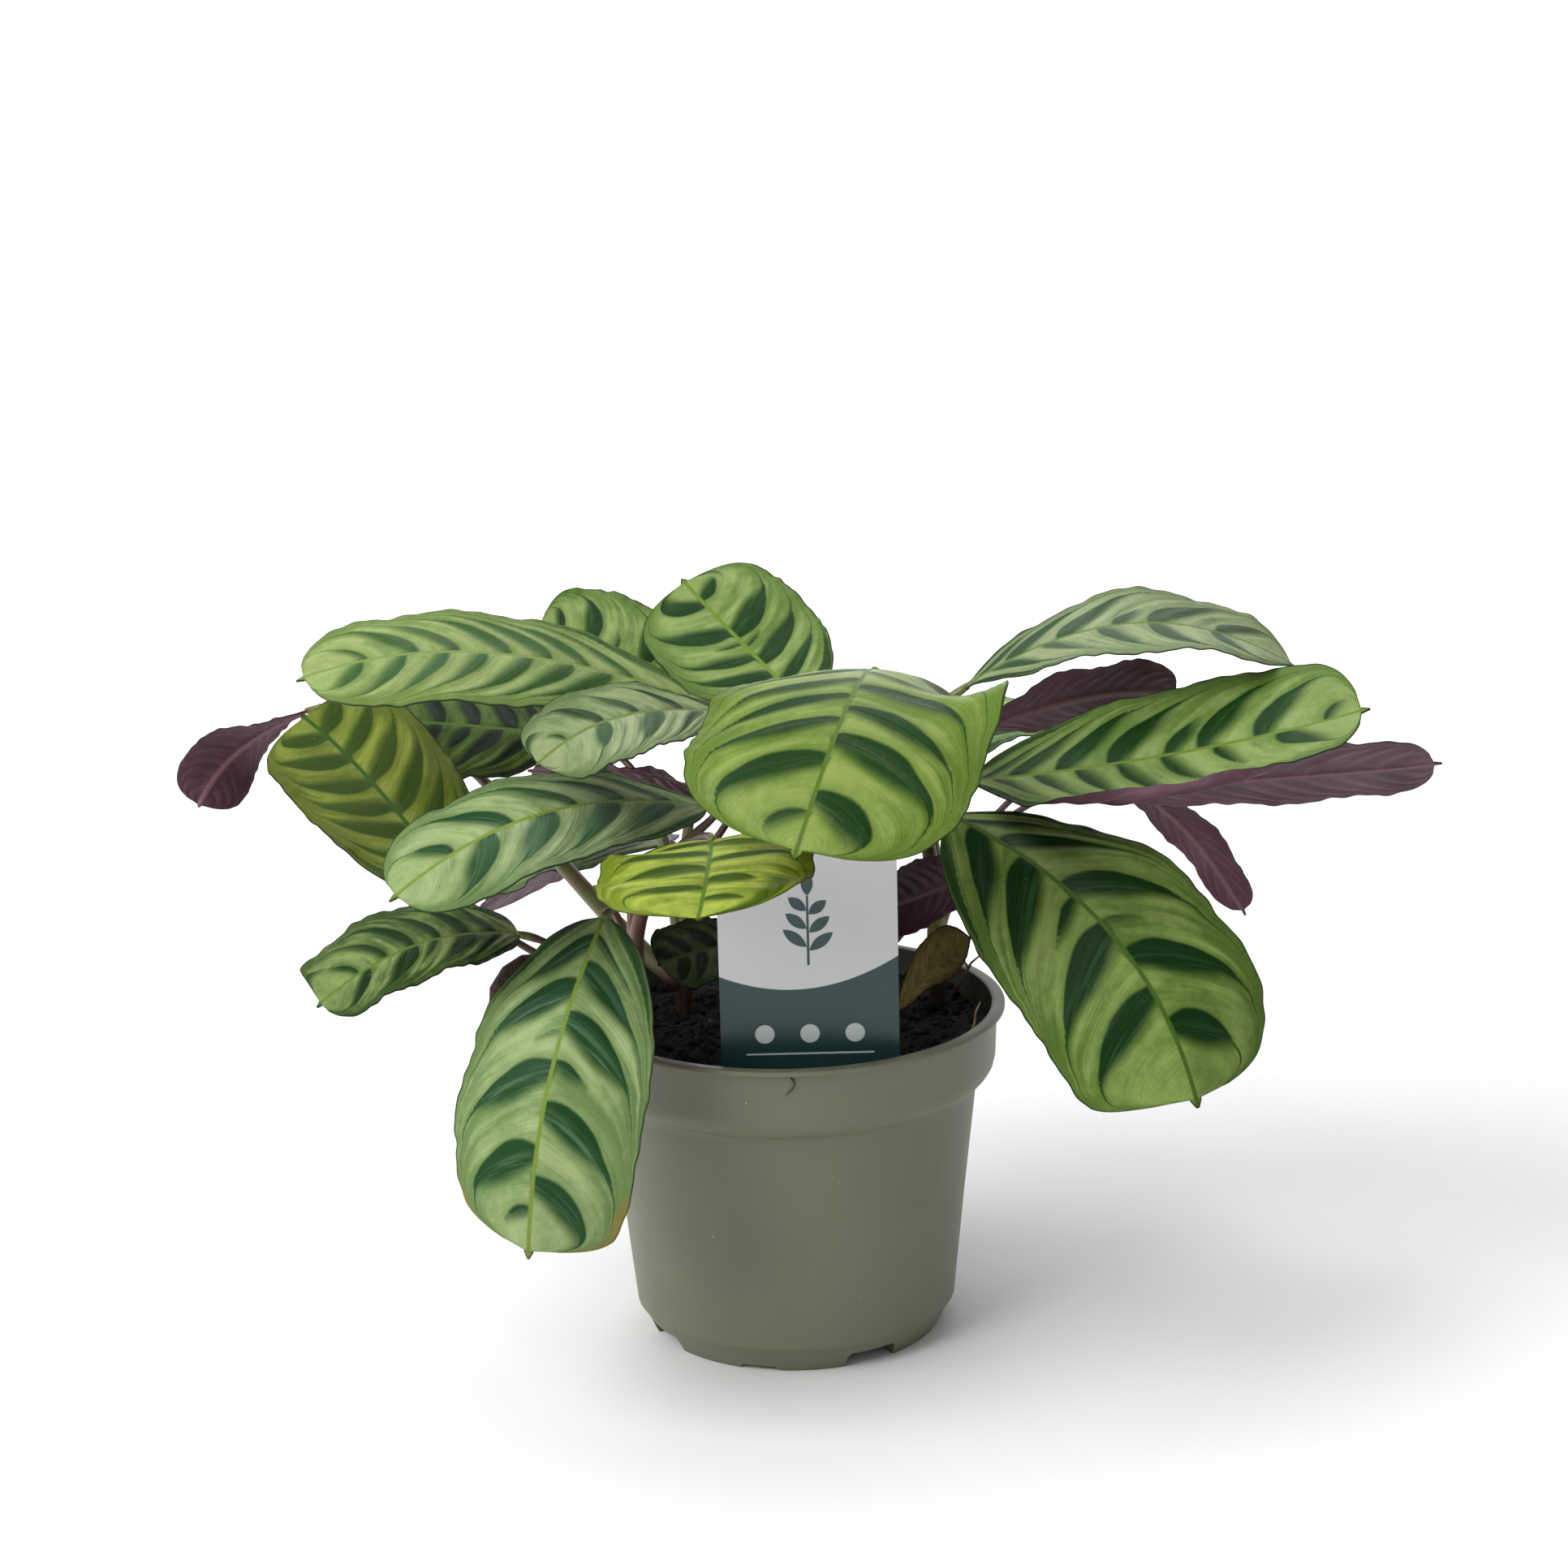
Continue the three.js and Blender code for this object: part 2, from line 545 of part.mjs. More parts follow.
// A petiole leaves its stem near the top, or lower down where its leaf is low and far out.
function petioleCurve([x, y, sheathTop], leaf) {
  const { point, along } = midrib(leaf, 0);
  const end = point.clone().addScaledVector(along, -GAP);
  const high = sheathTop - PETIOLE_TUCK;
  const slanted = end.z - PETIOLE_SLOPE * Math.hypot(end.x - x, end.y - y);
  const start = new THREE.Vector3(x, y, Math.max(PETIOLE_LOWEST, Math.min(high, slanted)));
  const reach = start.distanceTo(end);
  const lean = new THREE.Vector3(end.x - x, end.y - y, 0).multiplyScalar(PETIOLE_LEAN);
  const rise = slanted < high
    ? start.clone().lerp(end, PETIOLE_APPROACH)
    : start.clone().add(lean).addScaledVector(UP, PETIOLE_RISE * (end.z - start.z));
  const approach = end.clone().addScaledVector(along, -PETIOLE_APPROACH * reach);
  return new THREE.CubicBezierCurve3(start, rise, approach, end);
}

function shootGeometry(name) {
  const [x, y, sheathTop] = SHOOTS[name];
  const foot = new THREE.Vector3(x, y, SHEATH_FOOT);
  const top = new THREE.Vector3(x, y, sheathTop);
  const taper = (t) => SHEATH_RADIUS * (1 - SHEATH_TAPER * t * t);
  const stem = tube(new THREE.LineCurve3(foot, top), 3, SHEATH_SIDES, taper);
  let shoot = toSolid(stem);
  for (const leaf of LEAVES.filter((one) => one.shoot === name)) {
    const curve = petioleCurve(SHOOTS[name], leaf);
    const swell = (t) => {
      const foot = (PETIOLE_FOOT_RADIUS - PETIOLE_RADIUS) * Math.max(0, 1 - 2 * t);
      return foot + PETIOLE_RADIUS * (t > PETIOLE_SWELL_FROM ? PETIOLE_SWELL : 1);
    };
    shoot = shoot.add(toSolid(tube(curve, PETIOLE_STEPS, PETIOLE_SIDES, swell)));
  }
  return toGeometry(shoot);
}

// The assembly.

const plant = new THREE.Group();

function addMesh(name, geometry, color, roughness) {
  const material = new THREE.MeshStandardMaterial({ color, roughness, metalness: 0 });
  const mesh = new THREE.Mesh(geometry, material);
  mesh.name = name;
  plant.add(mesh);
}

addMesh("pot", potGeometry(), POT_COLOUR, 0.5);
addMesh("soil", soilGeometry(), SOIL_COLOUR, 0.95);
addMesh("label", labelGeometry(), LABEL_COLOUR, 0.35);
for (const name of Object.keys(SHOOTS)) {
  addMesh(name, shootGeometry(name), PETIOLE_COLOUR, 0.6);
}
const PURPLE = ["leaf_far_left", "leaf_right_back", "leaf_far_right", "leaf_right_hanging", "leaf_by_label"];
for (const leaf of LEAVES) {
  let colour = PURPLE.includes(leaf.name) ? PURPLE_COLOUR : LEAF_COLOUR;
  colour = leaf.name === "leaf_left_olive" ? OLIVE_COLOUR : colour;
  colour = leaf.name === "dry_sheath" ? DRY_COLOUR : colour;
  addMesh(leaf.name, bladeGeometry(leaf), colour, 0.45);
}

export default plant;
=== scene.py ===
import math
from types import SimpleNamespace

import bmesh
import bpy
import numpy as np
from mathutils import Matrix, Vector


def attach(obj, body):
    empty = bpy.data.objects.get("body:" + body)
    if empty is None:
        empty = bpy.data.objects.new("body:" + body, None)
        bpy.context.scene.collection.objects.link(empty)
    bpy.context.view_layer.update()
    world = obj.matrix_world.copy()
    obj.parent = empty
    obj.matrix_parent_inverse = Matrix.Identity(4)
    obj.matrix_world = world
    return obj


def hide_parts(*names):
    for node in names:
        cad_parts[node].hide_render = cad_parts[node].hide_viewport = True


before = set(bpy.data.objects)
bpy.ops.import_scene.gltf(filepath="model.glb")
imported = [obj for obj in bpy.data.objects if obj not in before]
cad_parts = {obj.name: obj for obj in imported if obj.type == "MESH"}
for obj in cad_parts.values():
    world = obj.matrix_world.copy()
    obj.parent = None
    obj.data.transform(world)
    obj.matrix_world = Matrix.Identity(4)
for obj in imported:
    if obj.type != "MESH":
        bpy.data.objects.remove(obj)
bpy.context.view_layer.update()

MM = 0.001
TAU = 2 * math.pi
rng = np.random.default_rng(7)

# How full a blade's base and tip are: the lower, the blunter.
ROUND = (0.47, 0.44)
PLAIN = (0.47, 0.62)
BLUNT = (0.6, 0.42)
BROAD = (0.72, 0.4)
TAPERED = (0.9, 0.9)
SLIM = (0.85, 0.5)
FULL = (0.35, 0.44)
FULLER = (0.42, 0.4)
SQUARE = (0.35, 0.16)


def leaf(look, base, mid, tip, half, turns, twist=0, wave=(1, 3), lean=0, ends=ROUND, bars=(5, 0.12), **own):
    """One blade, as in the part's source: three points of the midrib and the half width (mm), turns (roll,
    fold and curl) and twist in degrees, wave (height in mm, and number along the edge), how much wider the
    left half is, and the ends. Only here: how many bars a side has and where the first one starts, unless
    BARS has the blade, and a left or right half's own ends."""
    roll, fold, curl = turns
    return SimpleNamespace(
        look=look, base=base, mid=mid, tip=tip, half=half, roll=roll, fold=fold, curl=curl, twist=twist,
        wave=wave[0], waves=wave[1], lean=lean, bars=bars[0], first=bars[1], left=own.get("left", ends),
        right=own.get("right", ends))


BLADES = {
    "front_centre": leaf("young", (25, -15, 190), (16, -68, 192), (2, -100, 162), 38, (-3, -4, -14),
        wave=(1.3, 2.5), right=FULL),
    "top_centre": leaf("green", (6, 0, 178), (-10, 30, 188), (-28, 58, 202), 22, (-27, 0, -6), wave=(0.7, 3)),
    "upper_left": leaf("soft", (-25, 5, 179), (-81, -12, 197), (-128, -25, 193), 23, (-21, -2, -6),
        twist=6, wave=(0.6, 3.5)),
    "upper_left_back": leaf("green", (-28, 33, 178), (-50, 48, 185), (-70, 54, 190), 20, (-24, 6, 0),
        wave=(0.7, 3)),
    "left_olive": leaf("olive", (-86, -28, 133), (-114, 8, 157), (-136, 34, 170), 21, (-28, 4, -4),
        lean=-0.03),
    # This blade's look is painted shade, for the shadow of the leaves above it.
    "left_back": leaf("painted_shade", (-61, 44, 160), (-92, 48, 163), (-121, 50, 165), 21, (-28, -5, -4)),
    "left_middle": leaf("pale", (-21, -25, 156), (-63, -50, 162), (-101, -70, 145), 18.5, (-26, -10, -6),
        wave=(0.7, 3.5), lean=-0.1),
    "small_upper": leaf("grey", (-18, -25, 182), (-44, -38, 184), (-64, -48, 174), 17, (-19, -2, 0),
        wave=(0.6, 3)),
    "far_left": leaf("green", (-141, 80, 161), (-162, 79, 150), (-174, 72, 134), 12, (55, 0, 0), twist=45,
        wave=(0.8, 2), ends=SLIM, bars=(5, 0.14)),
    "low_left": leaf("dense", (-71, -42, 127), (-98, -50, 127), (-123, -57, 113), 19, (-14, 0, -6),
        wave=(0.8, 3), lean=-0.16, left=FULL, right=SQUARE),
    "front_left": leaf("pale", (-48, -45, 132), (-62, -78, 98), (-69, -80, 51), 26, (-14, -12, -6),
        right=FULL),
    "front_low": leaf("lime", (-19, -48, 153), (-20, -72, 151), (-22, -93, 145), 28, (6, 8, -8),
        wave=(1.8, 2.5), ends=PLAIN),
    # Its dark look is painted shade, for a blade low in other leaves' shadow.
    "by_soil": leaf("dark", (-7, -16, 115), (-22, -24, 116), (-35, -31, 114), 11, (-35, 0, 0),
        wave=(0.8, 2), bars=(4, 0.15)),
    "right_top": leaf("grey", (51, 15, 178), (97, 5, 197), (140, -5, 185), 21, (12, 2, 0), twist=-12,
        wave=(1, 2.5), ends=TAPERED),
    "right_long": leaf("green", (50, -20, 160), (104, -30, 169), (153, -40, 182), 23.5, (21, 3, 10),
        wave=(0.6, 3.5), lean=0.15, ends=BLUNT),
    "right_front": leaf("deep", (44, -28, 153), (83, -68, 131), (103, -86, 90), 31, (34, -16, -8),
        ends=BROAD, right=FULLER),
    "right_back": leaf("green", (58, 38, 161), (87, 44, 168), (114, 46, 168), 14, (-47, 0, 6), wave=(1, 2.5)),
    "far_right": leaf("green", (83, 20, 147), (134, 12, 151), (181, 3, 156), 24, (-33, 0, 0),
        wave=(0.6, 3), ends=BLUNT, bars=(6, 0.12)),
    "right_hanging": leaf("green", (87, 40, 148), (114, 50, 129), (134, 48, 100), 10, (-33, 0, 0),
        wave=(0.8, 3), ends=BLUNT),
    # by_label and left_inner have the dark look, painted shade for blades in shadow.
    "by_label": leaf("dark", (55, 0, 132), (40, -3, 125), (20, -8, 120), 13, (62, 0, 0), wave=(0.8, 2),
        bars=(4, 0.15)),
    "left_inner": leaf("dark", (-19, 5, 149), (-44, 3, 156), (-70, 0, 161), 17, (30, 0, 0), bars=(5, 0.14)),
    "back_centre": leaf("green", (17, 25, 150), (18, 68, 146), (16, 100, 122), 24, (0, -2, -6),
        wave=(1.2, 3)),
    "back_left": leaf("green", (-8, 32, 158), (-38, 66, 170), (-70, 92, 168), 21, (2, 4, -4),
        wave=(1.2, 3), bars=(6, 0.1)),
    "back_right": leaf("pale", (36, 36, 150), (66, 77, 156), (95, 90, 149), 20, (2, -4, -4), wave=(1.2, 3)),
    "back_left_low": leaf("deep", (-34, 42, 128), (-65, 76, 115), (-92, 95, 92), 21, (-5, -4, -4),
        wave=(1.2, 3)),
    "back_low": leaf("deep", (9, 38, 134), (8, 80, 112), (9, 98, 72), 22, (1, -6, -4)),
    "dry_sheath": leaf("dry", (30, 5, 86.4), (40, 3, 100), (51, -2, 111), 8, (45, 10, 20), twist=20,
        wave=(0.6, 2), ends=TAPERED, bars=(0, 0)),
}

# The blades' outline, as in the part's source: where the spur at the tip starts, its half width there and
# at its end as shares of the half width, the least half width at the base in mm, and the curves' powers.
TIP_START = 0.975
SPUR_HALF = 0.05
SPUR_END = 0.012
NECK_HALF = 1.3
WIDEST_SHIFT = 1.15
BASE_CURVE = 2.2
TIP_CURVE = 4.8

# Bars drawn one by one, as they lie on the plant: the left half's, then the right half's, each with its
# place on the midrib and its reach to the margin in hundredths, and its half thickness in thousandths.
BARS = {
    "front_centre": (
        [(20, 88, 30), (36, 88, 34), (50, 88, 30), (64.5, 90, 50), (84, 66, 44)],
        [(15, 88, 30), (30, 90, 32), (43, 90, 28), (56, 90, 30), (72, 88, 42), (88, 46, 20)]),
    "top_centre": (
        [(16, 86, 36), (28, 86, 46), (42, 86, 38), (52, 34, 10), (62, 86, 48), (83, 86, 42)],
        [(20, 86, 40), (38, 84, 56), (49, 30, 10), (60, 84, 58), (86, 50, 34)]),
    "upper_left": (
        [(10, 86, 20), (19, 88, 26), (28, 88, 26), (38, 88, 28), (49, 86, 26), (59, 86, 28), (70, 84, 28),
         (82, 60, 22)],
        [(14, 88, 20), (24, 90, 24), (33, 90, 26), (43, 90, 28), (56, 88, 24), (67, 86, 30), (80, 60, 16)]),
    "upper_left_back": (
        [(20, 84, 40), (42, 84, 45), (66, 80, 40)],
        [(5, 80, 30), (25, 86, 56), (44, 30, 12), (62, 84, 56), (83, 60, 30)]),
    "left_olive": (
        [(14, 88, 34), (27, 88, 36), (38, 90, 36), (50, 88, 42), (65, 86, 42), (81, 80, 45)],
        [(10, 88, 34), (22, 90, 40), (36, 90, 44), (51, 90, 40), (67, 86, 40), (84, 70, 45)]),
    "left_back": (
        [(17, 84, 40), (34, 86, 48), (48, 50, 34), (63, 84, 50), (82, 60, 36)],
        [(12, 84, 36), (28, 86, 46), (45, 84, 46), (62, 84, 46), (80, 60, 36)]),
    "left_middle": (
        [(13, 86, 44), (30, 86, 48), (49.5, 80, 50), (68.5, 84, 46)],
        [(12, 88, 30), (26, 90, 34), (40, 88, 28), (61, 86, 38), (79, 56, 26)]),
    "small_upper": (
        [(8, 80, 40), (30, 80, 62), (57.5, 62, 50)],
        [(16, 88, 30), (38, 86, 36), (57, 84, 36), (78, 40, 14)]),
    "low_left": (
        [(10, 80, 30), (24, 84, 46), (40, 60, 24), (52, 86, 56), (74, 80, 34)],
        [(12, 88, 24), (25, 88, 30), (38, 90, 30), (51, 90, 30), (64, 86, 26), (78, 50, 18)]),
    "front_left": (
        [(6, 70, 14), (16.5, 84, 44), (32, 86, 50), (44, 36, 20), (58.5, 84, 48), (79, 84, 42)],
        [(8.5, 80, 44), (22.5, 84, 50), (34.5, 30, 7), (47, 84, 54), (71, 82, 50), (86, 38, 17)]),
    "front_low": (
        [(10, 88, 50), (34, 86, 40), (60, 50, 40), (80, 50, 30)],
        [(6, 88, 40), (24, 88, 50), (45, 86, 55), (68, 70, 30)]),
    "right_top": (
        [(4, 80, 30), (15, 84, 46), (30, 86, 50), (45, 36, 30), (57, 84, 50), (76, 70, 35)],
        [(10, 80, 36), (24, 84, 30), (40, 88, 30), (56, 88, 32), (74, 70, 26)]),
    "right_long": (
        [(3, 80, 20), (11.5, 86, 36), (22.5, 88, 40), (35.5, 88, 42), (49, 46, 30), (57, 86, 36),
         (72, 84, 38), (88.5, 38, 14)],
        [(6, 70, 20), (16, 70, 20), (26, 70, 20), (36, 70, 20), (47, 70, 20), (60, 50, 20), (78, 70, 42)]),
    "right_front": (
        [(4, 84, 20), (15, 86, 36), (34.5, 86, 46), (45.5, 32, 9), (58.5, 86, 50), (79, 62, 46)],
        [(9, 84, 50), (23.5, 86, 56), (37, 44, 22), (49, 86, 56), (69, 84, 46)]),
}

# Where each shoot stands in the soil, how high its sheathed stem is, and its leaves.
SHOOTS = {
    "shoot_left_front": (-42, -13, 120, "left_olive left_middle low_left front_left front_low"),
    "shoot_left_back": (-30, 14, 112, "upper_left_back left_back far_left left_inner back_left_low"),
    "shoot_centre": (-2, 2, 108, "top_centre upper_left small_upper back_centre back_left by_soil"),
    "shoot_right_front": (42, 14, 112, "front_centre right_long right_front by_label"),
    "shoot_right_back": (22, 24, 110, "right_top right_back far_right right_hanging back_right back_low"),
}
SHEATH_FOOT = 70

# Petioles, in mm: their radii below, where not the usual one, and above; the swelling below the blade and
# the share of the way up where it starts; and how deep in the sheath, how steeply and how low they start.
STOUT = dict(far_left=2.3, left_back=1.7, right_long=2.0, left_olive=1.35, right_front=1.9, far_right=1.5,
             left_middle=1.5)
USUAL_STOUT = 1.15
SLENDER = 1.1
SWELLING = 0.28
SWELL_START = 0.84
PETIOLE_TUCK = 8
PETIOLE_SLOPE = 0.8
PETIOLE_LOWEST = 94

# The studio light brightens the plant by this much, which its colours take off again, and cools it.
LIGHT_GAIN = 1.36
BLUE_SHARE = 0.9


def srgb(*colour):
    """A colour given in 0 to 255 steps as the shader's linear values."""
    def linear(c):
        c /= 255
        return c / 12.92 if c <= 0.04045 else ((c + 0.055) / 1.055) ** 2.4
    return (*(linear(c) for c in colour), 1.0)


# Small helpers for node materials.

class Value:
    """A node's output, which can be added, subtracted and multiplied."""

    def __init__(self, nodes, socket):
        self.nodes, self.socket = nodes, socket

    def __add__(self, other):
        return self.nodes.math("ADD", self, other)

    def __sub__(self, other):
        return self.nodes.math("SUBTRACT", self, other)

    def __mul__(self, other):
        return self.nodes.math("MULTIPLY", self, other)


class Nodes:
    """Builds one material's nodes with short calls."""

    def __init__(self, name):
        self.material = bpy.data.materials.new(name)
        self.material.use_nodes = True
        self.tree = self.material.node_tree
        self.shader = self.tree.nodes["Principled BSDF"]

    def put(self, kind, output, inputs=None, **settings):
        """Adds a node and returns one of its outputs."""
        node = self.tree.nodes.new("ShaderNode" + kind)
        for key, value in settings.items():
            setattr(node, key, value)
        for key, value in (inputs or {}).items():
            self.feed(node.inputs[key], value)
        return Value(self, node.outputs[output])

    def feed(self, socket, value):
        if isinstance(value, Value):
            self.tree.links.new(value.socket, socket)
        else:
            socket.default_value = value

    def math(self, operation, a, b=0.0):
        return self.put("Math", 0, {0: a, 1: b}, operation=operation)

    def smooth(self, value, low, high):
        """0 at low and 1 at high, with soft ends."""
        ends = {"Value": value, "From Min": low, "From Max": high}
        return self.put("MapRange", "Result", ends, interpolation_type="SMOOTHSTEP")

    def mix(self, factor, a, b):
        return self.put("Mix", "Result", {"Factor": factor, "A": a, "B": b}, data_type="RGBA")

    def attribute(self, name):
        return self.put("Attribute", "Fac", attribute_name=name)

    def place(self):
        return self.put("TexCoord", "Object")

    def axis(self, name):
        """The object's own X, Y or Z in metres."""
        return self.put("SeparateXYZ", name, {0: self.place()})

    def noise(self, scale, detail=3.0, vector=None, stretch=None, rough=0.5):
        vector = vector or self.place()
        if stretch:
            vector = self.put("Mapping", "Vector", {"Scale": stretch, "Vector": vector})
        inputs = {"Scale": scale, "Detail": detail, "Roughness": rough, "Vector": vector}
        return self.put("TexNoise", "Fac", inputs)

    def finish(self, colour, rough, bump=None, specular=None):
        """Feeds the shader; bump is a height with its strength and distance."""
        sockets = {"Base Color": colour, "Roughness": rough}
        if bump:
            inputs = dict(zip(("Height", "Strength", "Distance"), bump))
            sockets["Normal"] = self.put("Bump", "Normal", inputs)
        if specular is not None:
            sockets["Specular IOR Level"] = specular
        for key, value in sockets.items():
            self.feed(self.shader.inputs[key], value)
        return self.material


def seen(*colour):
    """A colour of the plant, 0 to 255, as it looks in this light."""
    r, g, b, a = srgb(*colour)
    return (r / LIGHT_GAIN, g / LIGHT_GAIN, b / LIGHT_GAIN * BLUE_SHARE, a)


# Leaf looks: light ground, deeper ground, bar, painted bar sheen (a highlight in colour), midrib, and edge
# line, as 0 to 255 colours.
LOOKS = {
    "green": ((144, 166, 102), (97, 127, 58), (18, 56, 12), (44, 84, 36), (108, 136, 50), (34, 56, 26)),
    "pale": ((162, 182, 129), (112, 141, 86), (30, 70, 34), (88, 120, 92), (122, 146, 60), (42, 68, 36)),
    "soft": ((160, 180, 116), (114, 140, 70), (48, 88, 30), (66, 102, 48), (130, 152, 84), (52, 76, 40)),
    "grey": ((148, 165, 120), (103, 125, 81), (22, 56, 14), (76, 104, 76), (108, 130, 66), (48, 70, 40)),
    "young": ((142, 164, 84), (99, 127, 46), (16, 56, 4), (44, 82, 18), (86, 114, 34), (46, 68, 26)),
    "deep": ((143, 168, 94), (92, 121, 50), (14, 52, 12), (48, 84, 46), (74, 106, 38), (24, 46, 20)),
    "dense": ((136, 158, 96), (62, 88, 38), (16, 52, 10), (40, 76, 32), (98, 126, 44), (30, 52, 22)),
    "lime": ((182, 200, 86), (119, 139, 30), (58, 86, 2), (76, 100, 14), (94, 126, 26), (78, 80, 20)),
    "olive": ((130, 144, 60), (88, 103, 27), (46, 69, 5), (58, 76, 14), (48, 86, 20), (54, 50, 16)),
    # A look of painted shade: the leaf colours darkened for a blade in other leaves' shadow.
    "painted_shade": ((88, 114, 40), (48, 72, 20), (4, 26, 2), (14, 38, 8), (74, 106, 28), (14, 26, 8)),
    # The dark look is painted shade too, for blades low in the shadow of other leaves.
    "dark": ((66, 84, 46), (40, 56, 26), (8, 26, 10), (20, 36, 20), (54, 72, 30), (20, 26, 12)),
    "dry": ((134, 122, 74), (98, 86, 46), (88, 74, 40), (98, 84, 50), (120, 106, 60), (62, 50, 28)),
}


def streaks(n, scale, detail=3.0):
    """Streaky noise that follows the lateral veins."""
    lane = {"X": n.attribute("band") * scale, "Y": n.attribute("across") * 1.6, "Z": n.attribute("seed")}
    return n.noise(1.0, detail, vector=n.put("CombineXYZ", "Vector", lane))


def leaf_material(look):
    """The upper face: bars, fine lateral veins, midrib and edge, from the blade's own coordinates."""
    light, ground, bar, painted_sheen, rib, edge = (seen(*c) for c in LOOKS[look])
    n = Nodes("leaf_" + look)
    across = n.attribute("across")
    tipward = n.attribute("tipward")
    painted_silver = n.attribute("painted_silver")
    side = n.math("ABSOLUTE", across)
    wide = n.noise(60, 4)
    fine = n.noise(420, 3)
    hair = streaks(n, 130, 2.0)
    # Ground colour: soft streaks along the lateral veins, which fade towards the tip, a little blotchy,
    # deeper to the margin.
    calm = n.smooth(n.attribute("along"), 0.97, 0.7)
    lanes = (streaks(n, 22) - 0.5) * calm
    deep = lanes * 1.3 + wide * 0.6 + n.smooth(side, 0.6, 0.95) * 0.3 + (fine - 0.5) * 0.35
    colour = n.mix(n.smooth(deep, 0.08, 0.62), light, ground)
    colour = n.mix(n.smooth(hair, 0.5, 0.68) * (calm * 0.3), colour, ground)
    # The bars: a crisp edge to the base, a soft one to the tip with a greyer painted sheen, a highlight,
    # before it.
    body = n.attribute("mark") + (wide - 0.5) * 1.3
    colour = n.mix(n.smooth(body, -2.0, 0.1) * 0.6, colour, ground)
    soft = n.smooth(tipward, -0.35, 0.5)
    crisp = n.smooth(body, -0.35, 0.3)
    faded = n.smooth(body, -1.3, 1.1)
    cover = faded * soft + crisp * n.math("SUBTRACT", 1.0, soft)
    painted_gloss = n.smooth(streaks(n, 70), 0.42, 0.66) * n.smooth(body, 0.1, 1.1) * n.smooth(tipward, -0.7, 0.5)
    # A painted silvery sheen over the ground, where light glances off some blades.
    painted_silver_streaks = painted_silver * n.smooth(streaks(n, 50), 0.3, 0.6)
    colour = n.mix(painted_silver_streaks * 0.45, colour, seen(176, 190, 160))
    # Painted highlight on the bars: their sheen colour where either painted sheen lies.
    shine = n.math("MAXIMUM", painted_gloss * 0.8, painted_silver * 0.75)
    colour = n.mix(cover, colour, n.mix(shine, bar, painted_sheen))
    # Thin dark lines that the bars run out into, the midrib and the thin edge.
    left = n.smooth(across, -0.001, 0.001)
    turn = n.mix(left, n.attribute("turn_right"), n.attribute("turn_left"))
    off = n.math("ABSOLUTE", n.math("FRACT", turn + 0.5) - 0.5)
    line = n.smooth(off, 0.034, 0.012) * (n.smooth(side, 0.45, 0.7) * n.smooth(side, 0.985, 0.93))
    colour = n.mix(line * 0.85, colour, bar)
    colour = n.mix(n.smooth(n.attribute("rib"), 0.8, 0.35), colour, rib)
    colour = n.mix(n.smooth(n.attribute("margin"), 0.6, 0.2), colour, edge)
    # Pale dots, and the patches that have gone sere.
    colour = n.mix(n.smooth(n.noise(1500, 2), 0.72, 0.78) * 0.35, colour, seen(176, 186, 160))
    colour = n.mix(n.attribute("sere") * n.smooth(wide, 0.3, 0.6), colour, seen(182, 128, 56))
    return n.finish(colour, fine * 0.2 + 0.34, (hair * 0.9 + fine * 0.5, 0.45, 0.0006), 0.11)


def under_material(name, dark, light, vein):
    """The purple underside, with paler lateral veins."""
    n = Nodes(name)
    lanes = streaks(n, 60)
    colour = n.mix(n.smooth(n.noise(60, 4), 0.3, 0.75), seen(*dark), seen(*light))
    colour = n.mix(n.smooth(lanes, 0.5, 0.7) * 0.32, colour, seen(*vein))
    colour = n.mix(n.smooth(n.attribute("rib"), 1.0, 0.5), colour, seen(*vein))
    return n.finish(colour, 0.55, (lanes + n.noise(500, 2), 0.3, 0.0004), 0.25)


def mottled(name, dark, light, grain, rough, even=False, bump=None):
    """A plain material that drifts between two tones: grain is its noise's scale and detail, bump another
    one's with strength and distance."""
    n = Nodes(name)
    patch = n.noise(*grain)
    colour = n.mix(patch if even else n.smooth(patch, 0.3, 0.7), dark, light)
    return n.finish(colour, rough, bump and (n.noise(*bump[:2]), *bump[2:]))


def petiole_material():
    n = Nodes("petiole")
    along = n.attribute("along")
    patch = n.noise(60, 3)
    low = n.mix(n.smooth(patch, 0.38, 0.62), seen(146, 108, 96), seen(124, 130, 72))
    high = n.mix(n.smooth(patch, 0.4, 0.7), seen(84, 56, 50), seen(106, 84, 62))
    colour = n.mix(n.smooth(along, 0.3, 0.7), low, high)
    colour = n.mix(n.smooth(along, 0.88, 0.94), colour, seen(108, 116, 60))
    streak = n.noise(900, 2, stretch=(1, 1, 0.08))
    colour = n.mix(n.smooth(streak, 0.5, 0.7) * 0.35, colour, seen(84, 62, 50))
    # Painted shade: darker low down, near the soil and under the leaves.
    painted_low_shade = n.smooth(n.axis("Z"), 0.104, 0.09)
    colour = n.mix(painted_low_shade * 0.8, colour, seen(34, 28, 22))
    return n.finish(colour, 0.42, (streak, 0.3, 0.0004), 0.5)


# From the first of these radii to the second, in metres, the pot counts as inside.
POT_INSIDE = (0.05725, 0.0569)


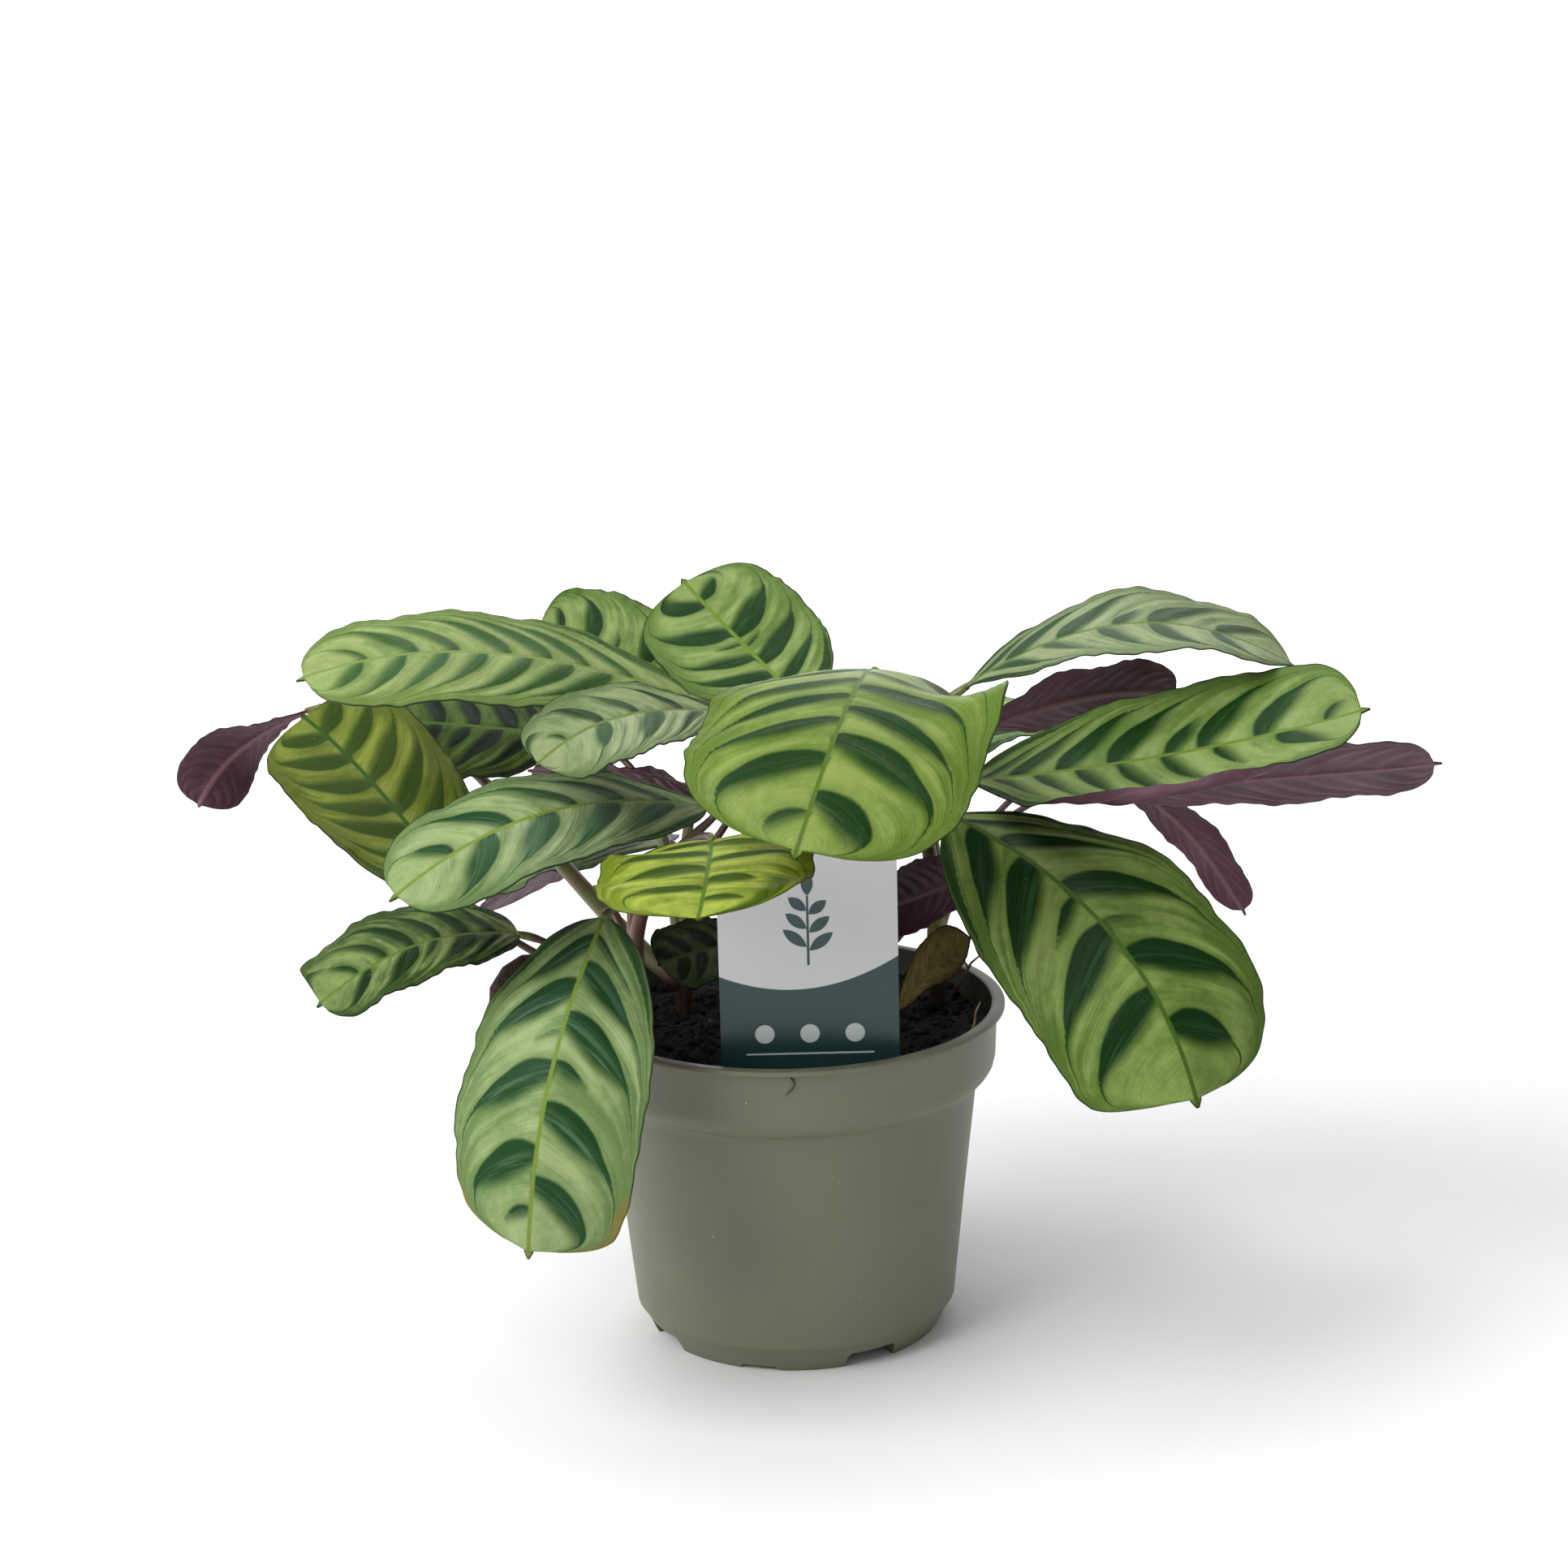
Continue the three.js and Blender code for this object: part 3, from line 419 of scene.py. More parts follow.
def pot_material():
    n = Nodes("pot_plastic")
    colour = n.mix(n.smooth(n.noise(14, 3), 0.3, 0.7), srgb(101, 102, 82), srgb(108, 109, 89))
    dust = n.smooth(n.noise(160, 5, rough=0.7), 0.62, 0.8)
    colour = n.mix(dust * 0.14, colour, srgb(146, 144, 130))
    # The inside is darker: painted shade in the pot's hollow above the soil.
    square = n.math("POWER", n.axis("X"), 2.0) + n.math("POWER", n.axis("Y"), 2.0)
    inner, innermost = POT_INSIDE
    inside = n.smooth(square, inner ** 2, innermost ** 2) * n.smooth(n.axis("Z"), 0.078, 0.08)
    colour = n.mix(inside * 0.8, colour, srgb(42, 42, 34))
    height = n.noise(1600, 2) * 0.4 + n.noise(240, 2, stretch=(1, 1, 0.04)) * 0.5
    return n.finish(colour, n.noise(90, 4) * 0.16 + 0.38, (height, 0.12, 0.0003))


def soil_material():
    n = Nodes("soil")
    lump = n.noise(240, 5, rough=0.65)
    colour = n.mix(n.smooth(lump, 0.35, 0.75), srgb(6, 6, 5), srgb(22, 19, 16))
    speck = n.smooth(n.noise(900, 2), 0.7, 0.78)
    colour = n.mix(speck * 0.4, colour, srgb(62, 52, 40))
    return n.finish(colour, 0.95, (lump, 0.7, 0.0015))


def husk_material():
    n = Nodes("husk")
    colour = n.mix(n.smooth(n.noise(260, 4), 0.3, 0.7), seen(58, 42, 36), seen(104, 80, 72))
    colour = n.mix(n.smooth(n.noise(700, 2), 0.6, 0.7), colour, seen(30, 24, 20))
    return n.finish(colour, 0.8, (n.noise(500, 3), 0.5, 0.0006))


# Meshes.

def set_smooth(mesh, smooth=True):
    mesh.polygons.foreach_set("use_smooth", [smooth] * len(mesh.polygons))


def mend_normals(mesh, weld=False):
    bm = bmesh.new()
    bm.from_mesh(mesh)
    if weld:
        bmesh.ops.remove_doubles(bm, verts=bm.verts, dist=1e-6)
    bmesh.ops.recalc_face_normals(bm, faces=bm.faces)
    bm.to_mesh(mesh)
    bm.free()


def make_object(name, points, faces):
    mesh = bpy.data.meshes.new(name)
    mesh.from_pydata([tuple(p) for p in points], [], [tuple(int(i) for i in f) for f in faces])
    mesh.validate()
    mesh.update()
    piece = bpy.data.objects.new(name, mesh)
    bpy.context.scene.collection.objects.link(piece)
    set_smooth(mesh)
    return piece


def set_attribute(piece, name, values):
    layer = piece.data.attributes.new(name, "FLOAT", "POINT")
    layer.data.foreach_set("value", np.asarray(values, dtype=np.float32))


def dress(piece, materials, replaces=()):
    for material in materials:
        piece.data.materials.append(material)
    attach(piece, "root")
    if replaces:
        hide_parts(*replaces)


# Leaf blades, by the same formula as the part's source.

def share(x):
    return np.clip(x, 0, 1)


def midrib(blade, v):
    b, m, t = (np.array(p, float) for p in (blade.base, blade.mid, blade.tip))
    v = np.asarray(v, float)[..., None]
    point = b * (2 * v * v - 3 * v + 1) + m * (4 * v - 4 * v * v) + t * (2 * v * v - v)
    along = b * (4 * v - 3) + m * (4 - 8 * v) + t * (4 * v - 1)
    return point, along / np.linalg.norm(along, axis=-1, keepdims=True)


def outline(v, ends):
    s = np.power(share(v / TIP_START), WIDEST_SHIFT)
    low = np.power(share(1 - np.abs(1 - 2 * s) ** BASE_CURVE), ends[0])
    high = np.power(share(1 - np.abs(2 * s - 1) ** TIP_CURVE), ends[1])
    body = np.maximum(np.where(s < 0.5, low, high), SPUR_HALF)
    spur = SPUR_HALF * (1 - v) / (1 - TIP_START) + SPUR_END
    return np.where(v > TIP_START, spur, body)


def half_width(blade, u, v):
    shape = np.where(u > 0, outline(v, blade.left), outline(v, blade.right))
    width = blade.half * (1 + np.sign(u) * blade.lean) * shape
    return np.where(v < 0.5, np.maximum(width, NECK_HALF), width)


def turn_between(a, b):
    return np.array(Vector(a).rotation_difference(Vector(b)).to_matrix())


# One long blade has its lower margin folded up, the front one has a corner that stands up, and some have
# a half that reaches on past the tip.
FLIP = {"right_long": SimpleNamespace(side=-1, share=0.81, low=0.14, high=0.82, turn=150, extra=0.4)}
FLARE = {"front_centre": SimpleNamespace(side=1, spread=0.11, place=0.43, height=12, dip_place=0.2, dip=6)}
REACH = {"low_left": (-1, 8), "front_left": (1, 7), "right_front": (-1, 6)}

# Fine waves along the margin, each with its size, its pace and its phase: of the width, and up and down.
UNEVEN = ((0.006, 44, 1), (0.004, 79, 2.3))
CRINKLE = ((0.2, 58, 1.9), (0.15, 97, 3.1))


def fine_waves(waves, v, start):
    return sum(size * np.sin(pace * v + phase * start) for size, pace, phase in waves)


def blade_surface(name, us, vs, relief):
    """Points of the middle surface on a grid: rows along vs, columns along us, in mm."""
    blade = BLADES[name]
    flip, flare = FLIP.get(name), FLARE.get(name)
    long_side, far = REACH.get(name, (0, 0))
    middle = midrib(blade, 0.5)[1]
    left = np.cross((0, 0, 1), middle)
    left /= np.linalg.norm(left)
    top = np.cross(middle, left)
    points, alongs = midrib(blade, vs)
    roll = np.radians(blade.roll + blade.twist * (2 * vs - 1))
    out = np.zeros((len(vs), len(us), 3))
    steps = 24 if flip else 4
    side = np.sign(us)
    start = blade.half * 1.7 + blade.base[0] * 0.3 + side
    for j, v in enumerate(vs):
        turn = turn_between(middle, alongs[j])
        l, t = turn @ left, turn @ top
        row = np.repeat(points[j][None], len(us), axis=0)
        width = half_width(blade, us, v) * (1 + fine_waves(UNEVEN, v, start))
        if flip:
            fade = share((flip.high - v) / 0.25)
            rise = share((v - flip.low) / 0.25) * fade
            fuller = min(1, v / 0.12) * fade
            width = width * (1 + flip.extra * fuller * (side == flip.side))
        angle = np.zeros(len(us))
        for i in range(steps):
            s = np.abs(us) * (i + 0.5) / steps
            bend = np.radians(blade.fold + blade.curl * s * s)
            if flip:
                past = share((s - flip.share) / 0.12) * (side == flip.side)
                bend = bend + np.radians(flip.turn) * rise * past
            angle = roll[j] + side * bend
            step = (side * width * np.abs(us) / steps)[:, None]
            row = row + step * (np.cos(angle)[:, None] * l + np.sin(angle)[:, None] * t)
        ripple = np.sin(TAU * blade.waves * v + np.where(us > 0, 0.6, 2.4))
        ends = min(1, 6 * v, 6 * (1 - v))
        lift = (blade.wave * ripple * us * us + fine_waves(CRINKLE, v, start) * us ** 6) * ends
        if flare:
            up = flare.height * math.exp(-((v - flare.place) / flare.spread) ** 2)
            down = flare.dip * math.exp(-((v - flare.dip_place) / flare.spread) ** 2)
            lift = lift + np.where(side == flare.side, up * np.abs(us) ** 4 - down * us * us, 0)
        if far:
            push = far * v ** 4 * share((TIP_START - v) / 0.09)
            row = row + (push * np.abs(us) ** 1.5 * (side == long_side))[:, None] * alongs[j]
        lift = lift + relief[j]
        row = row + lift[:, None] * (-np.sin(angle)[:, None] * l + np.cos(angle)[:, None] * t)
        out[j] = row
    return out


# Bars that aren't in BARS end here, as a share of the midrib. Every bar is widest at this share of its
# reach, a little wider than its row says, and a depth in one is counted in these shares of the length.
LAST_BAR = 0.86
BAR_WIDEST = 0.42
BAR_GAIN = 1.12
BAR_UNIT = 0.02
BAR_LIMIT = 2.5


def lateral(t):
    """How far towards the tip a lateral vein has run at the share t of the half width."""
    return 0.1 * t ** 1.15 + 0.11 * t ** 2 + 0.09 * t ** 8 + 0.26 * t ** 16


def bar_plan(name, blade, seed):
    """The dark bars: side, place on the midrib, reach and half thickness, with small ones between."""
    if name in BARS:
        return [(side, place / 100, reach / 100, thick / 1000)
                for side, half in zip((1, -1), BARS[name]) for place, reach, thick in half]
    draw = np.random.default_rng(seed)
    bars = []
    if not blade.bars:
        return bars
    pitch = (LAST_BAR - blade.first) / (blade.bars - 0.5)
    for k in range(blade.bars):
        for side in (1, -1):
            v0 = blade.first + pitch * (k + (0.45 if side < 0 else 0)) + draw.uniform(-0.1, 0.1) * pitch
            reach = draw.uniform(0.82, 0.88) * (1 - 0.3 * max(0, v0 - 0.65))
            thick = pitch * draw.uniform(0.25, 0.32) * (0.7 if k == 0 else 1)
            bars.append((side, v0, reach, thick))
            if draw.random() < 0.5 and 0 < k:
                low = v0 - pitch * draw.uniform(0.42, 0.55)
                bars.append((side, low, draw.uniform(0.25, 0.42), pitch * draw.uniform(0.05, 0.1)))
    return bars


def bar_field(bars, u, v):
    """How deep inside a bar a point lies, in fiftieths of the blade's length, and how far it lies
    to the bar's tip side. A bar leaves the midrib narrow, is widest before the middle of the half
    blade and tapers to the margin."""
    field = np.full(u.shape, -BAR_LIMIT)
    tipward = np.zeros(u.shape)
    t = np.abs(u)
    for side, v0, reach, thick in bars:
        away = v - v0 - lateral(t) + 0.16 * thick
        out = share(t / reach)
        head = 0.5 + 0.5 * np.sin(share(out / BAR_WIDEST) * math.pi / 2)
        tail = share((out - BAR_WIDEST) / 0.58)
        width = BAR_GAIN * thick * head * (1 - tail ** 1.6) - 0.003
        inside = (u * side >= 0) & (t <= reach * 1.05)
        depth = np.where(inside, (width - np.abs(away)) / BAR_UNIT, -BAR_LIMIT)
        better = depth > field
        field = np.where(better, depth, field)
        tipward = np.where(better, away / np.maximum(width, 0.006), tipward)
    return np.clip(field, -BAR_LIMIT, BAR_LIMIT), np.clip(tipward, -1.5, 1.5)


def bar_turns(bars, side, band):
    """A count that is whole along each large bar's own vein on one side."""
    places = sorted(v0 for s, v0, reach, _ in bars if s == side and reach > 0.55)
    if len(places) < 2:
        return np.full(band.shape, 0.5)
    places = [2 * places[0] - places[1]] + places + [2 * places[-1] - places[-2]]
    return np.interp(band, places, np.arange(len(places)))


# The flat map: each face's inset, width and height, the lower one's place, and the rim's thickness.
UV_INSET = 0.03
UV_WIDTH = 0.42
UV_HEIGHT = 0.94
UV_LOWER = 0.5
UV_RIM = 0.006


def add_uv(piece, u, v, corners, first_rim):
    """The upper face on the left, the lower one on the right, the rim as a thin strip round the upper."""
    place = corners % len(u)
    u, v, lower = u[place], v[place], corners >= len(u)
    rim = lower & (np.arange(len(corners)) >= first_rim)
    x = UV_INSET + UV_WIDTH * (u + 1) / 2
    y = UV_INSET + UV_HEIGHT * v
    x = np.where(rim, x + UV_RIM * np.sign(u), np.where(lower, x + UV_LOWER, x))
    y = np.where(rim & (np.abs(u) < 0.999), y + UV_RIM * np.sign(v - 0.5), y)
    uv = np.stack([x, y], 1).ravel().astype(np.float32)
    piece.data.uv_layers.new(name="OFBake").data.foreach_set("uv", uv)


def closed_faces(across, last):
    """Faces of a closed sheet on a grid of points: the upper ones, the lower ones and the rim."""
    count = across + 1
    under = count * (last + 1)
    j, i = np.meshgrid(np.arange(last), np.arange(across), indexing="ij")
    a = (j * count + i).ravel()
    top = np.stack([a, a + count, a + count + 1, a + 1], 1)
    bottom = np.stack([a, a + 1, a + count + 1, a + count], 1) + under
    loop = list(range(across)) + [k * count + across for k in range(last)]
    loop += [last * count + i for i in range(across, 0, -1)] + [k * count for k in range(last, 0, -1)]
    ring = np.array(loop)
    after = np.roll(ring, -1)
    return top, bottom, np.stack([ring, after, after + under, ring + under], 1)


def ramp(x, start, pace):
    """0 up to start, then rising by pace to 1, or falling from 1 to 0 at start where pace is negative."""
    return share((x - start) * pace)


def spots(name, u, v):
    """Where a blade is sere, and where a painted silvery sheen lies over it."""
    sere, painted_silver = np.zeros_like(u), np.zeros_like(u)
    if name == "front_left":
        sere = ramp(v, 0.74, 6) * ramp(u, 0.87, 14) + ramp(v, 0.78, 8) * ramp(-u, 0.92, 14) * 0.7
    if name in ("small_upper", "left_middle"):
        painted_silver = ramp(u, 0.02, 12) * ramp(v, 0.8, -5)
    if name == "right_top":
        painted_silver = np.full(u.shape, 0.7)
    if name == "front_centre":
        painted_silver = ramp(v, 0.36, -7)
    return sere, painted_silver


# The blade's make: how finely a large and a small one are divided, half its thickness and how much less
# it is at the margin (mm), the height of the swellings between the veins (mm), their number, and the
# depth of the groove over the midrib (mm).
LARGE_HALF = 15
LARGE_GRID = (56, 104)
SMALL_GRID = (36, 64)
HALF_THICK = 0.26
MARGIN_THINNER = 0.08
QUILT_HEIGHT = 0.28
QUILT_COUNT = 11
GROOVE = 0.45


def make_blade(name, blade, materials, seed):
    """One closed blade with a patterned upper face and a purple lower one."""
    across, rows = LARGE_GRID if blade.half > LARGE_HALF else SMALL_GRID
    us = np.sin(np.linspace(-1, 1, across + 1) * math.pi / 2 * 0.985)
    us /= us[-1]
    t = np.linspace(0, 1, rows)
    vs = TIP_START * (0.7 * t + 0.3 * (1 - np.cos(np.pi * t)) / 2)
    vs = np.concatenate([vs, [0.982, 0.99, 1.0]])
    u, v = np.meshgrid(us, vs)
    band = v - lateral(np.abs(u))
    quilt = np.sin(TAU * QUILT_COUNT * band)
    quilt = quilt * share(np.abs(u) * 3) * share((1 - np.abs(u)) * 4)
    groove = -GROOVE * np.exp(-((u * blade.half / 1.1) ** 2))
    ends = share(np.minimum(v, 1 - v) * 8)
    middle = blade_surface(name, us, vs, (QUILT_HEIGHT * quilt + groove) * ends)
    normal = np.cross(np.gradient(middle, axis=0), np.gradient(middle, axis=1))
    normal /= np.linalg.norm(normal, axis=2, keepdims=True) + 1e-12
    half_thick = HALF_THICK - MARGIN_THINNER * np.abs(u) ** 4
    rib = 0.8 * np.exp(-((u * blade.half / 1.2) ** 2)) * (1 - 0.75 * v) * np.clip(v * 30, 0.3, 1)
    upper = middle + normal * half_thick[..., None]
    lower = middle - normal * (half_thick + rib)[..., None]
    points = np.concatenate([upper.reshape(-1, 3), lower.reshape(-1, 3)]) * MM
    top, bottom, rim = closed_faces(across, len(vs) - 1)
    faces = np.concatenate([top, bottom, rim])
    node = name if name == "dry_sheath" else "leaf_" + name
    piece = make_object(node + "_blade", points, faces)
    material_index = np.zeros(len(faces), dtype=np.int32)
    material_index[len(top):len(top) + len(bottom)] = 1
    piece.data.polygons.foreach_set("material_index", material_index)
    bars = bar_plan(name, blade, seed)
    field, tipward = bar_field(bars, u, v)
    width = np.maximum(half_width(blade, u, v), 0.3)
    # Sere patches, and where the painted silvery sheen lies.
    sere, painted_silver = spots(name, u, v)
    fields = dict(across=u, band=band, mark=field, tipward=tipward, margin=(1 - np.abs(u)) * width,
                  rib=np.abs(u) * width, sere=sere, painted_silver=painted_silver, along=v, seed=np.full(u.shape, 3.7 * seed),
                  turn_left=bar_turns(bars, 1, band), turn_right=bar_turns(bars, -1, band))
    for key, values in fields.items():
        set_attribute(piece, key, np.concatenate([values.ravel(), values.ravel()]))
    add_uv(piece, u.ravel(), v.ravel(), faces.ravel(), 4 * (len(top) + len(bottom)))
    dress(piece, materials, [node])


# Tubes: petioles, fibres and hairs.

def around(r, turn):
    """The x and y of a point at the distance r from the pot's axis."""
    return r * math.cos(turn), r * math.sin(turn)


def sweep(path, radii, sides, flat=1.0):
    """Points and faces of a closed tube along a path of points, with parallel-carried rings."""
    path = np.asarray(path, float)
    tangents = np.gradient(path, axis=0)
    tangents /= np.linalg.norm(tangents, axis=1, keepdims=True)
    normal = np.cross(tangents[0], (0.31, 0.17, 0.93))
    normal /= np.linalg.norm(normal)
    points, faces = [], []
    for k, (centre, tangent) in enumerate(zip(path, tangents)):
        normal = normal - tangent * (normal @ tangent)
        normal /= np.linalg.norm(normal)
        side = np.cross(tangent, normal)
        for j in range(sides):
            angle = TAU * j / sides
            points.append(centre + radii[k] * (math.cos(angle) * normal + flat * math.sin(angle) * side))
    for k in range(len(path) - 1):
        for j in range(sides):
            a, b = k * sides + j, k * sides + (j + 1) % sides
            faces.append((a, b, b + sides, a + sides))
    faces.append(tuple(range(sides - 1, -1, -1)))
    last = (len(path) - 1) * sides
    faces.append(tuple(range(last, last + sides)))
    return points, faces


class Batch:
    """Collects closed bits, in mm, into one mesh."""

    def __init__(self):
        self.points, self.faces, self.values = [], [], []

    def add(self, points, faces, values=None):
        start = len(self.points)
        self.points.extend(points)
        self.faces.extend(tuple(i + start for i in f) for f in faces)
        self.values.extend(values if values is not None else [0.0] * len(points))

    def build(self, name):
        return make_object(name, np.array(self.points) * MM, self.faces)


def bezier(p0, p1, p2, p3, count):
    t = np.linspace(0, 1, count)[:, None]
    return ((1 - t) ** 3 * p0 + 3 * (1 - t) ** 2 * t * p1 + 3 * (1 - t) * t * t * p2 + t ** 3 * p3)


def petiole_path(foot, blade, count=28):
    x, y, sheath_top = foot
    point, along = midrib(blade, 0.0)
    end = point + along * 0.6
    slanted = end[2] - PETIOLE_SLOPE * math.hypot(end[0] - x, end[1] - y)
    start = np.array([x, y, max(PETIOLE_LOWEST, min(sheath_top - PETIOLE_TUCK, slanted))])
    reach = np.linalg.norm(end - start)
    if slanted < sheath_top - PETIOLE_TUCK:
        rise = start + 0.3 * (end - start)
    else:
        rise = start + np.array([0.12 * (end[0] - x), 0.12 * (end[1] - y), 0.75 * (end[2] - start[2])])
    approach = end - along * 0.3 * reach
    return bezier(start, rise, approach, end, count)


def make_shoot(name, foot, leaves, material, sides=12, sheaths=3, steps=12):
    """The petioles of one shoot, with the sheaths that wrap its stem nested and slightly turned."""
    batch = Batch()
    x, y, sheath_top = foot
    for owner in leaves:
        path = petiole_path(foot, BLADES[owner])
        t = np.linspace(0, 1, len(path))
        stout = STOUT.get(owner, USUAL_STOUT)
        radii = stout - (stout - SLENDER) * share((t - 0.45) / 0.25)
        radii = radii + SLENDER * share(1 - t / 0.5)
        swell = SWELLING * np.sin(np.pi * share((t - SWELL_START) / 0.16))
        radii = np.where(t > SWELL_START, radii + swell, radii)
        batch.add(*sweep(path, radii, sides, flat=0.85), np.repeat(t, sides))
    base, heights = np.array([x, y, SHEATH_FOOT]), np.linspace(0, 1, steps)
    for k in range(sheaths):
        rise = np.array([0, 0, sheath_top + (5, -6, 0)[k] - SHEATH_FOOT])
        lean = np.array([*around(1, 2.1 * k + x), 0]) * (1.0 + 0.3 * k)
        path = [base + lean * (h * 0.8) + h * rise for h in heights]
        tube = sweep(path, 2.0 * (1 - 0.3 * heights ** 3), sides)
        batch.add(*tube, np.repeat(np.linspace(0, 0.2, steps), sides))
    piece = batch.build(name + "_stems")
    set_attribute(piece, "along", batch.values)
    dress(piece, [material], [name])


# The pot: radii and heights of its parts in mm, as in the part's source.

POT = SimpleNamespace(height=93, lip=60, lip_thick=1.5, band=57.8, band_low=57.3, band_z=78.5, neck=52,
                      neck_z=71.5, corner=45.2, corner_z=9, foot=41, foot_width=5, wall=1.5, floor=2.5)


def pot_profile():
    """The pot's section as r and z, from the middle of its underside round to the middle of its floor."""
    p = POT
    lip_low = p.height - p.lip_thick
    foot_in = p.foot - p.foot_width
    return [
        (0.01, p.floor), (foot_in - 0.5, p.floor), (foot_in, 0.3), (foot_in + 0.3, 0),
        (p.foot - 0.4, 0), (p.foot, 0.3), (p.foot + 1.5, 3.5), (p.corner - 1.1, 7.0),
        (p.corner - 0.9, 7.35), (p.corner - 0.3, 7.5), (p.corner - 0.1, 7.8),
        (p.corner, p.corner_z), (48, 36), (p.neck - 0.2, p.neck_z - 2),
        (p.neck, p.neck_z - 0.3), (p.neck + 0.5, p.neck_z + 0.3),
        (p.neck + 2.3, p.neck_z + 1.2), (p.band_low - 1.6, p.band_z - 4.2),
        (p.band_low - 0.6, p.band_z - 2.6), (p.band_low, p.band_z),
        (p.band, lip_low - 0.6), (p.band + 0.3, lip_low - 0.1), (p.lip - 0.4, lip_low),
        (p.lip, lip_low + 0.4), (p.lip, p.height - 0.45), (p.lip - 0.15, p.height - 0.12),
        (p.lip - 0.5, p.height), (p.band - p.wall + 0.5, p.height),
        (p.band - p.wall + 0.1, p.height - 0.2), (p.band - p.wall, p.height - 0.7),
        (p.band_low - p.wall - 0.3, p.band_z - 1), (p.neck - p.wall + 0.2, p.neck_z - 0.6),
        (p.corner - p.wall, p.corner_z + 0.6), (p.foot, p.floor + p.wall),
        (0.01, p.floor + p.wall),
    ]


def notch(width, height, turn):
    """A cutter through the foot ring, on the given heading from the front, to the right."""
    a = math.radians(turn - 90)
    out, over = np.array([math.cos(a), math.sin(a), 0]), np.array([-math.sin(a), math.cos(a), 0])
    corners = [out * r + over * s + np.array([0, 0, z])
               for z, w in ((-5, width / 2 + 0.6), (height - 1, width / 2), (height, width / 2 - 1))
               for r in (POT.foot - 8.5, POT.foot + 7.5) for s in (-w, w)]
    faces = []
    for k in (0, 4):
        faces += [(k, k + 4, k + 5, k + 1), (k + 1, k + 5, k + 7, k + 3),
                  (k + 3, k + 7, k + 6, k + 2), (k + 2, k + 6, k + 4, k)]
    return corners, faces + [(0, 1, 3, 2), (8, 10, 11, 9)]


def make_pot(material, sides=180):
    profile = pot_profile()
    points = [(*around(r, TAU * k / sides), z) for k in range(sides) for r, z in profile]
    n = len(profile)
    faces = []
    for k in range(sides):
        m = (k + 1) % sides
        faces += [(k * n + i, m * n + i, m * n + i + 1, k * n + i + 1) for i in range(n - 1)]
    faces.append([k * n + n - 1 for k in range(sides)])
    faces.append([k * n for k in range(sides - 1, -1, -1)])
    pot = make_object("pot_shell", np.array(points) * MM, faces)
    notches, holes = Batch(), Batch()
    for k in range(4):
        notches.add(*notch(15, 4.4, 29 + 90 * k))
        notches.add(*notch(11, 1.4, -15 + 90 * k))
    for k in range(6):
        path = [(*around(30, TAU * (k + 0.5) / 6), z) for z in (-4, 1, 6, 11)]
        holes.add(*sweep(path, [3.5] * 4, 24))
    for batch in (notches, holes):
        tool = batch.build("pot_cutter")
        mend_normals(tool.data)
        cut = pot.modifiers.new("cut", "BOOLEAN")
        cut.operation = "DIFFERENCE"
        cut.solver = "EXACT"
        cut.object = tool
        apply_modifiers(pot)
        bpy.data.objects.remove(tool)
    set_smooth(pot.data)
    pot.data.set_sharp_from_angle(angle=math.radians(40))
    dress(pot, [material], ["pot"])


def apply_modifiers(piece):
    graph = bpy.context.evaluated_depsgraph_get()
    mesh = bpy.data.meshes.new_from_object(piece.evaluated_get(graph))
    old = piece.data
    piece.modifiers.clear()
    piece.data = mesh
    bpy.data.meshes.remove(old)


# The soil.

# How high the soil lies, how finely it is divided, how far it reaches, and its sides as r and z, in mm.
SOIL_Z = 86
SOIL_RINGS = 60
SOIL_SIDES = 150
SOIL_REACH = 55.2
SOIL_WALLS = [(54.6, 80), (51, 76), (49, 68), (43.4, 10.5), (40, 4.6)]
CRUMB_REACH = 54.0
CRUMB_EDGE = 54.8
FIBRE_REACH = 52.0
FIBRE_EDGE = 54


def soil_height(x, y):
    wide = np.sin(x / 9 + 1) * np.cos(y / 8 - 0.5)
    small = np.sin(x / 3.7 - y / 4.1 + 2)
    return SOIL_Z + 1.3 * (0.7 * wide + 0.4 * small)


def make_soil(material):
    points, faces = [], []
    for i in range(SOIL_RINGS + 1):
        r = SOIL_REACH * i / SOIL_RINGS
        for j in range(SOIL_SIDES):
            x, y = around(r, TAU * j / SOIL_SIDES)
            rough = rng.normal(0, 0.35) + 0.5 * math.sin(x * 1.7 + 2 * math.sin(y)) * math.cos(y * 1.9)
            z = float(soil_height(x, y)) + (rough if r > 0 else 0)
            points.append((x, y, z - (0.8 if i == SOIL_RINGS else 0)))
    for r, z in SOIL_WALLS:
        points += [(*around(r, TAU * j / SOIL_SIDES), z) for j in range(SOIL_SIDES)]
    for i in range(SOIL_RINGS + len(SOIL_WALLS)):
        for j in range(SOIL_SIDES):
            a, b = i * SOIL_SIDES + j, i * SOIL_SIDES + (j + 1) % SOIL_SIDES
            faces.append((a, a + SOIL_SIDES, b + SOIL_SIDES, b))
    faces.append(list(range(len(points) - SOIL_SIDES, len(points))))
    soil = make_object("soil_body", np.array(points) * MM, faces)
    mend_normals(soil.data, weld=True)
    dress(soil, [material], ["soil"])


def on_soil(reach):
    """A random place on the soil, within reach of the pot's axis."""
    r = reach * math.sqrt(rng.random())
    return (r, *around(r, rng.uniform(0, TAU)))


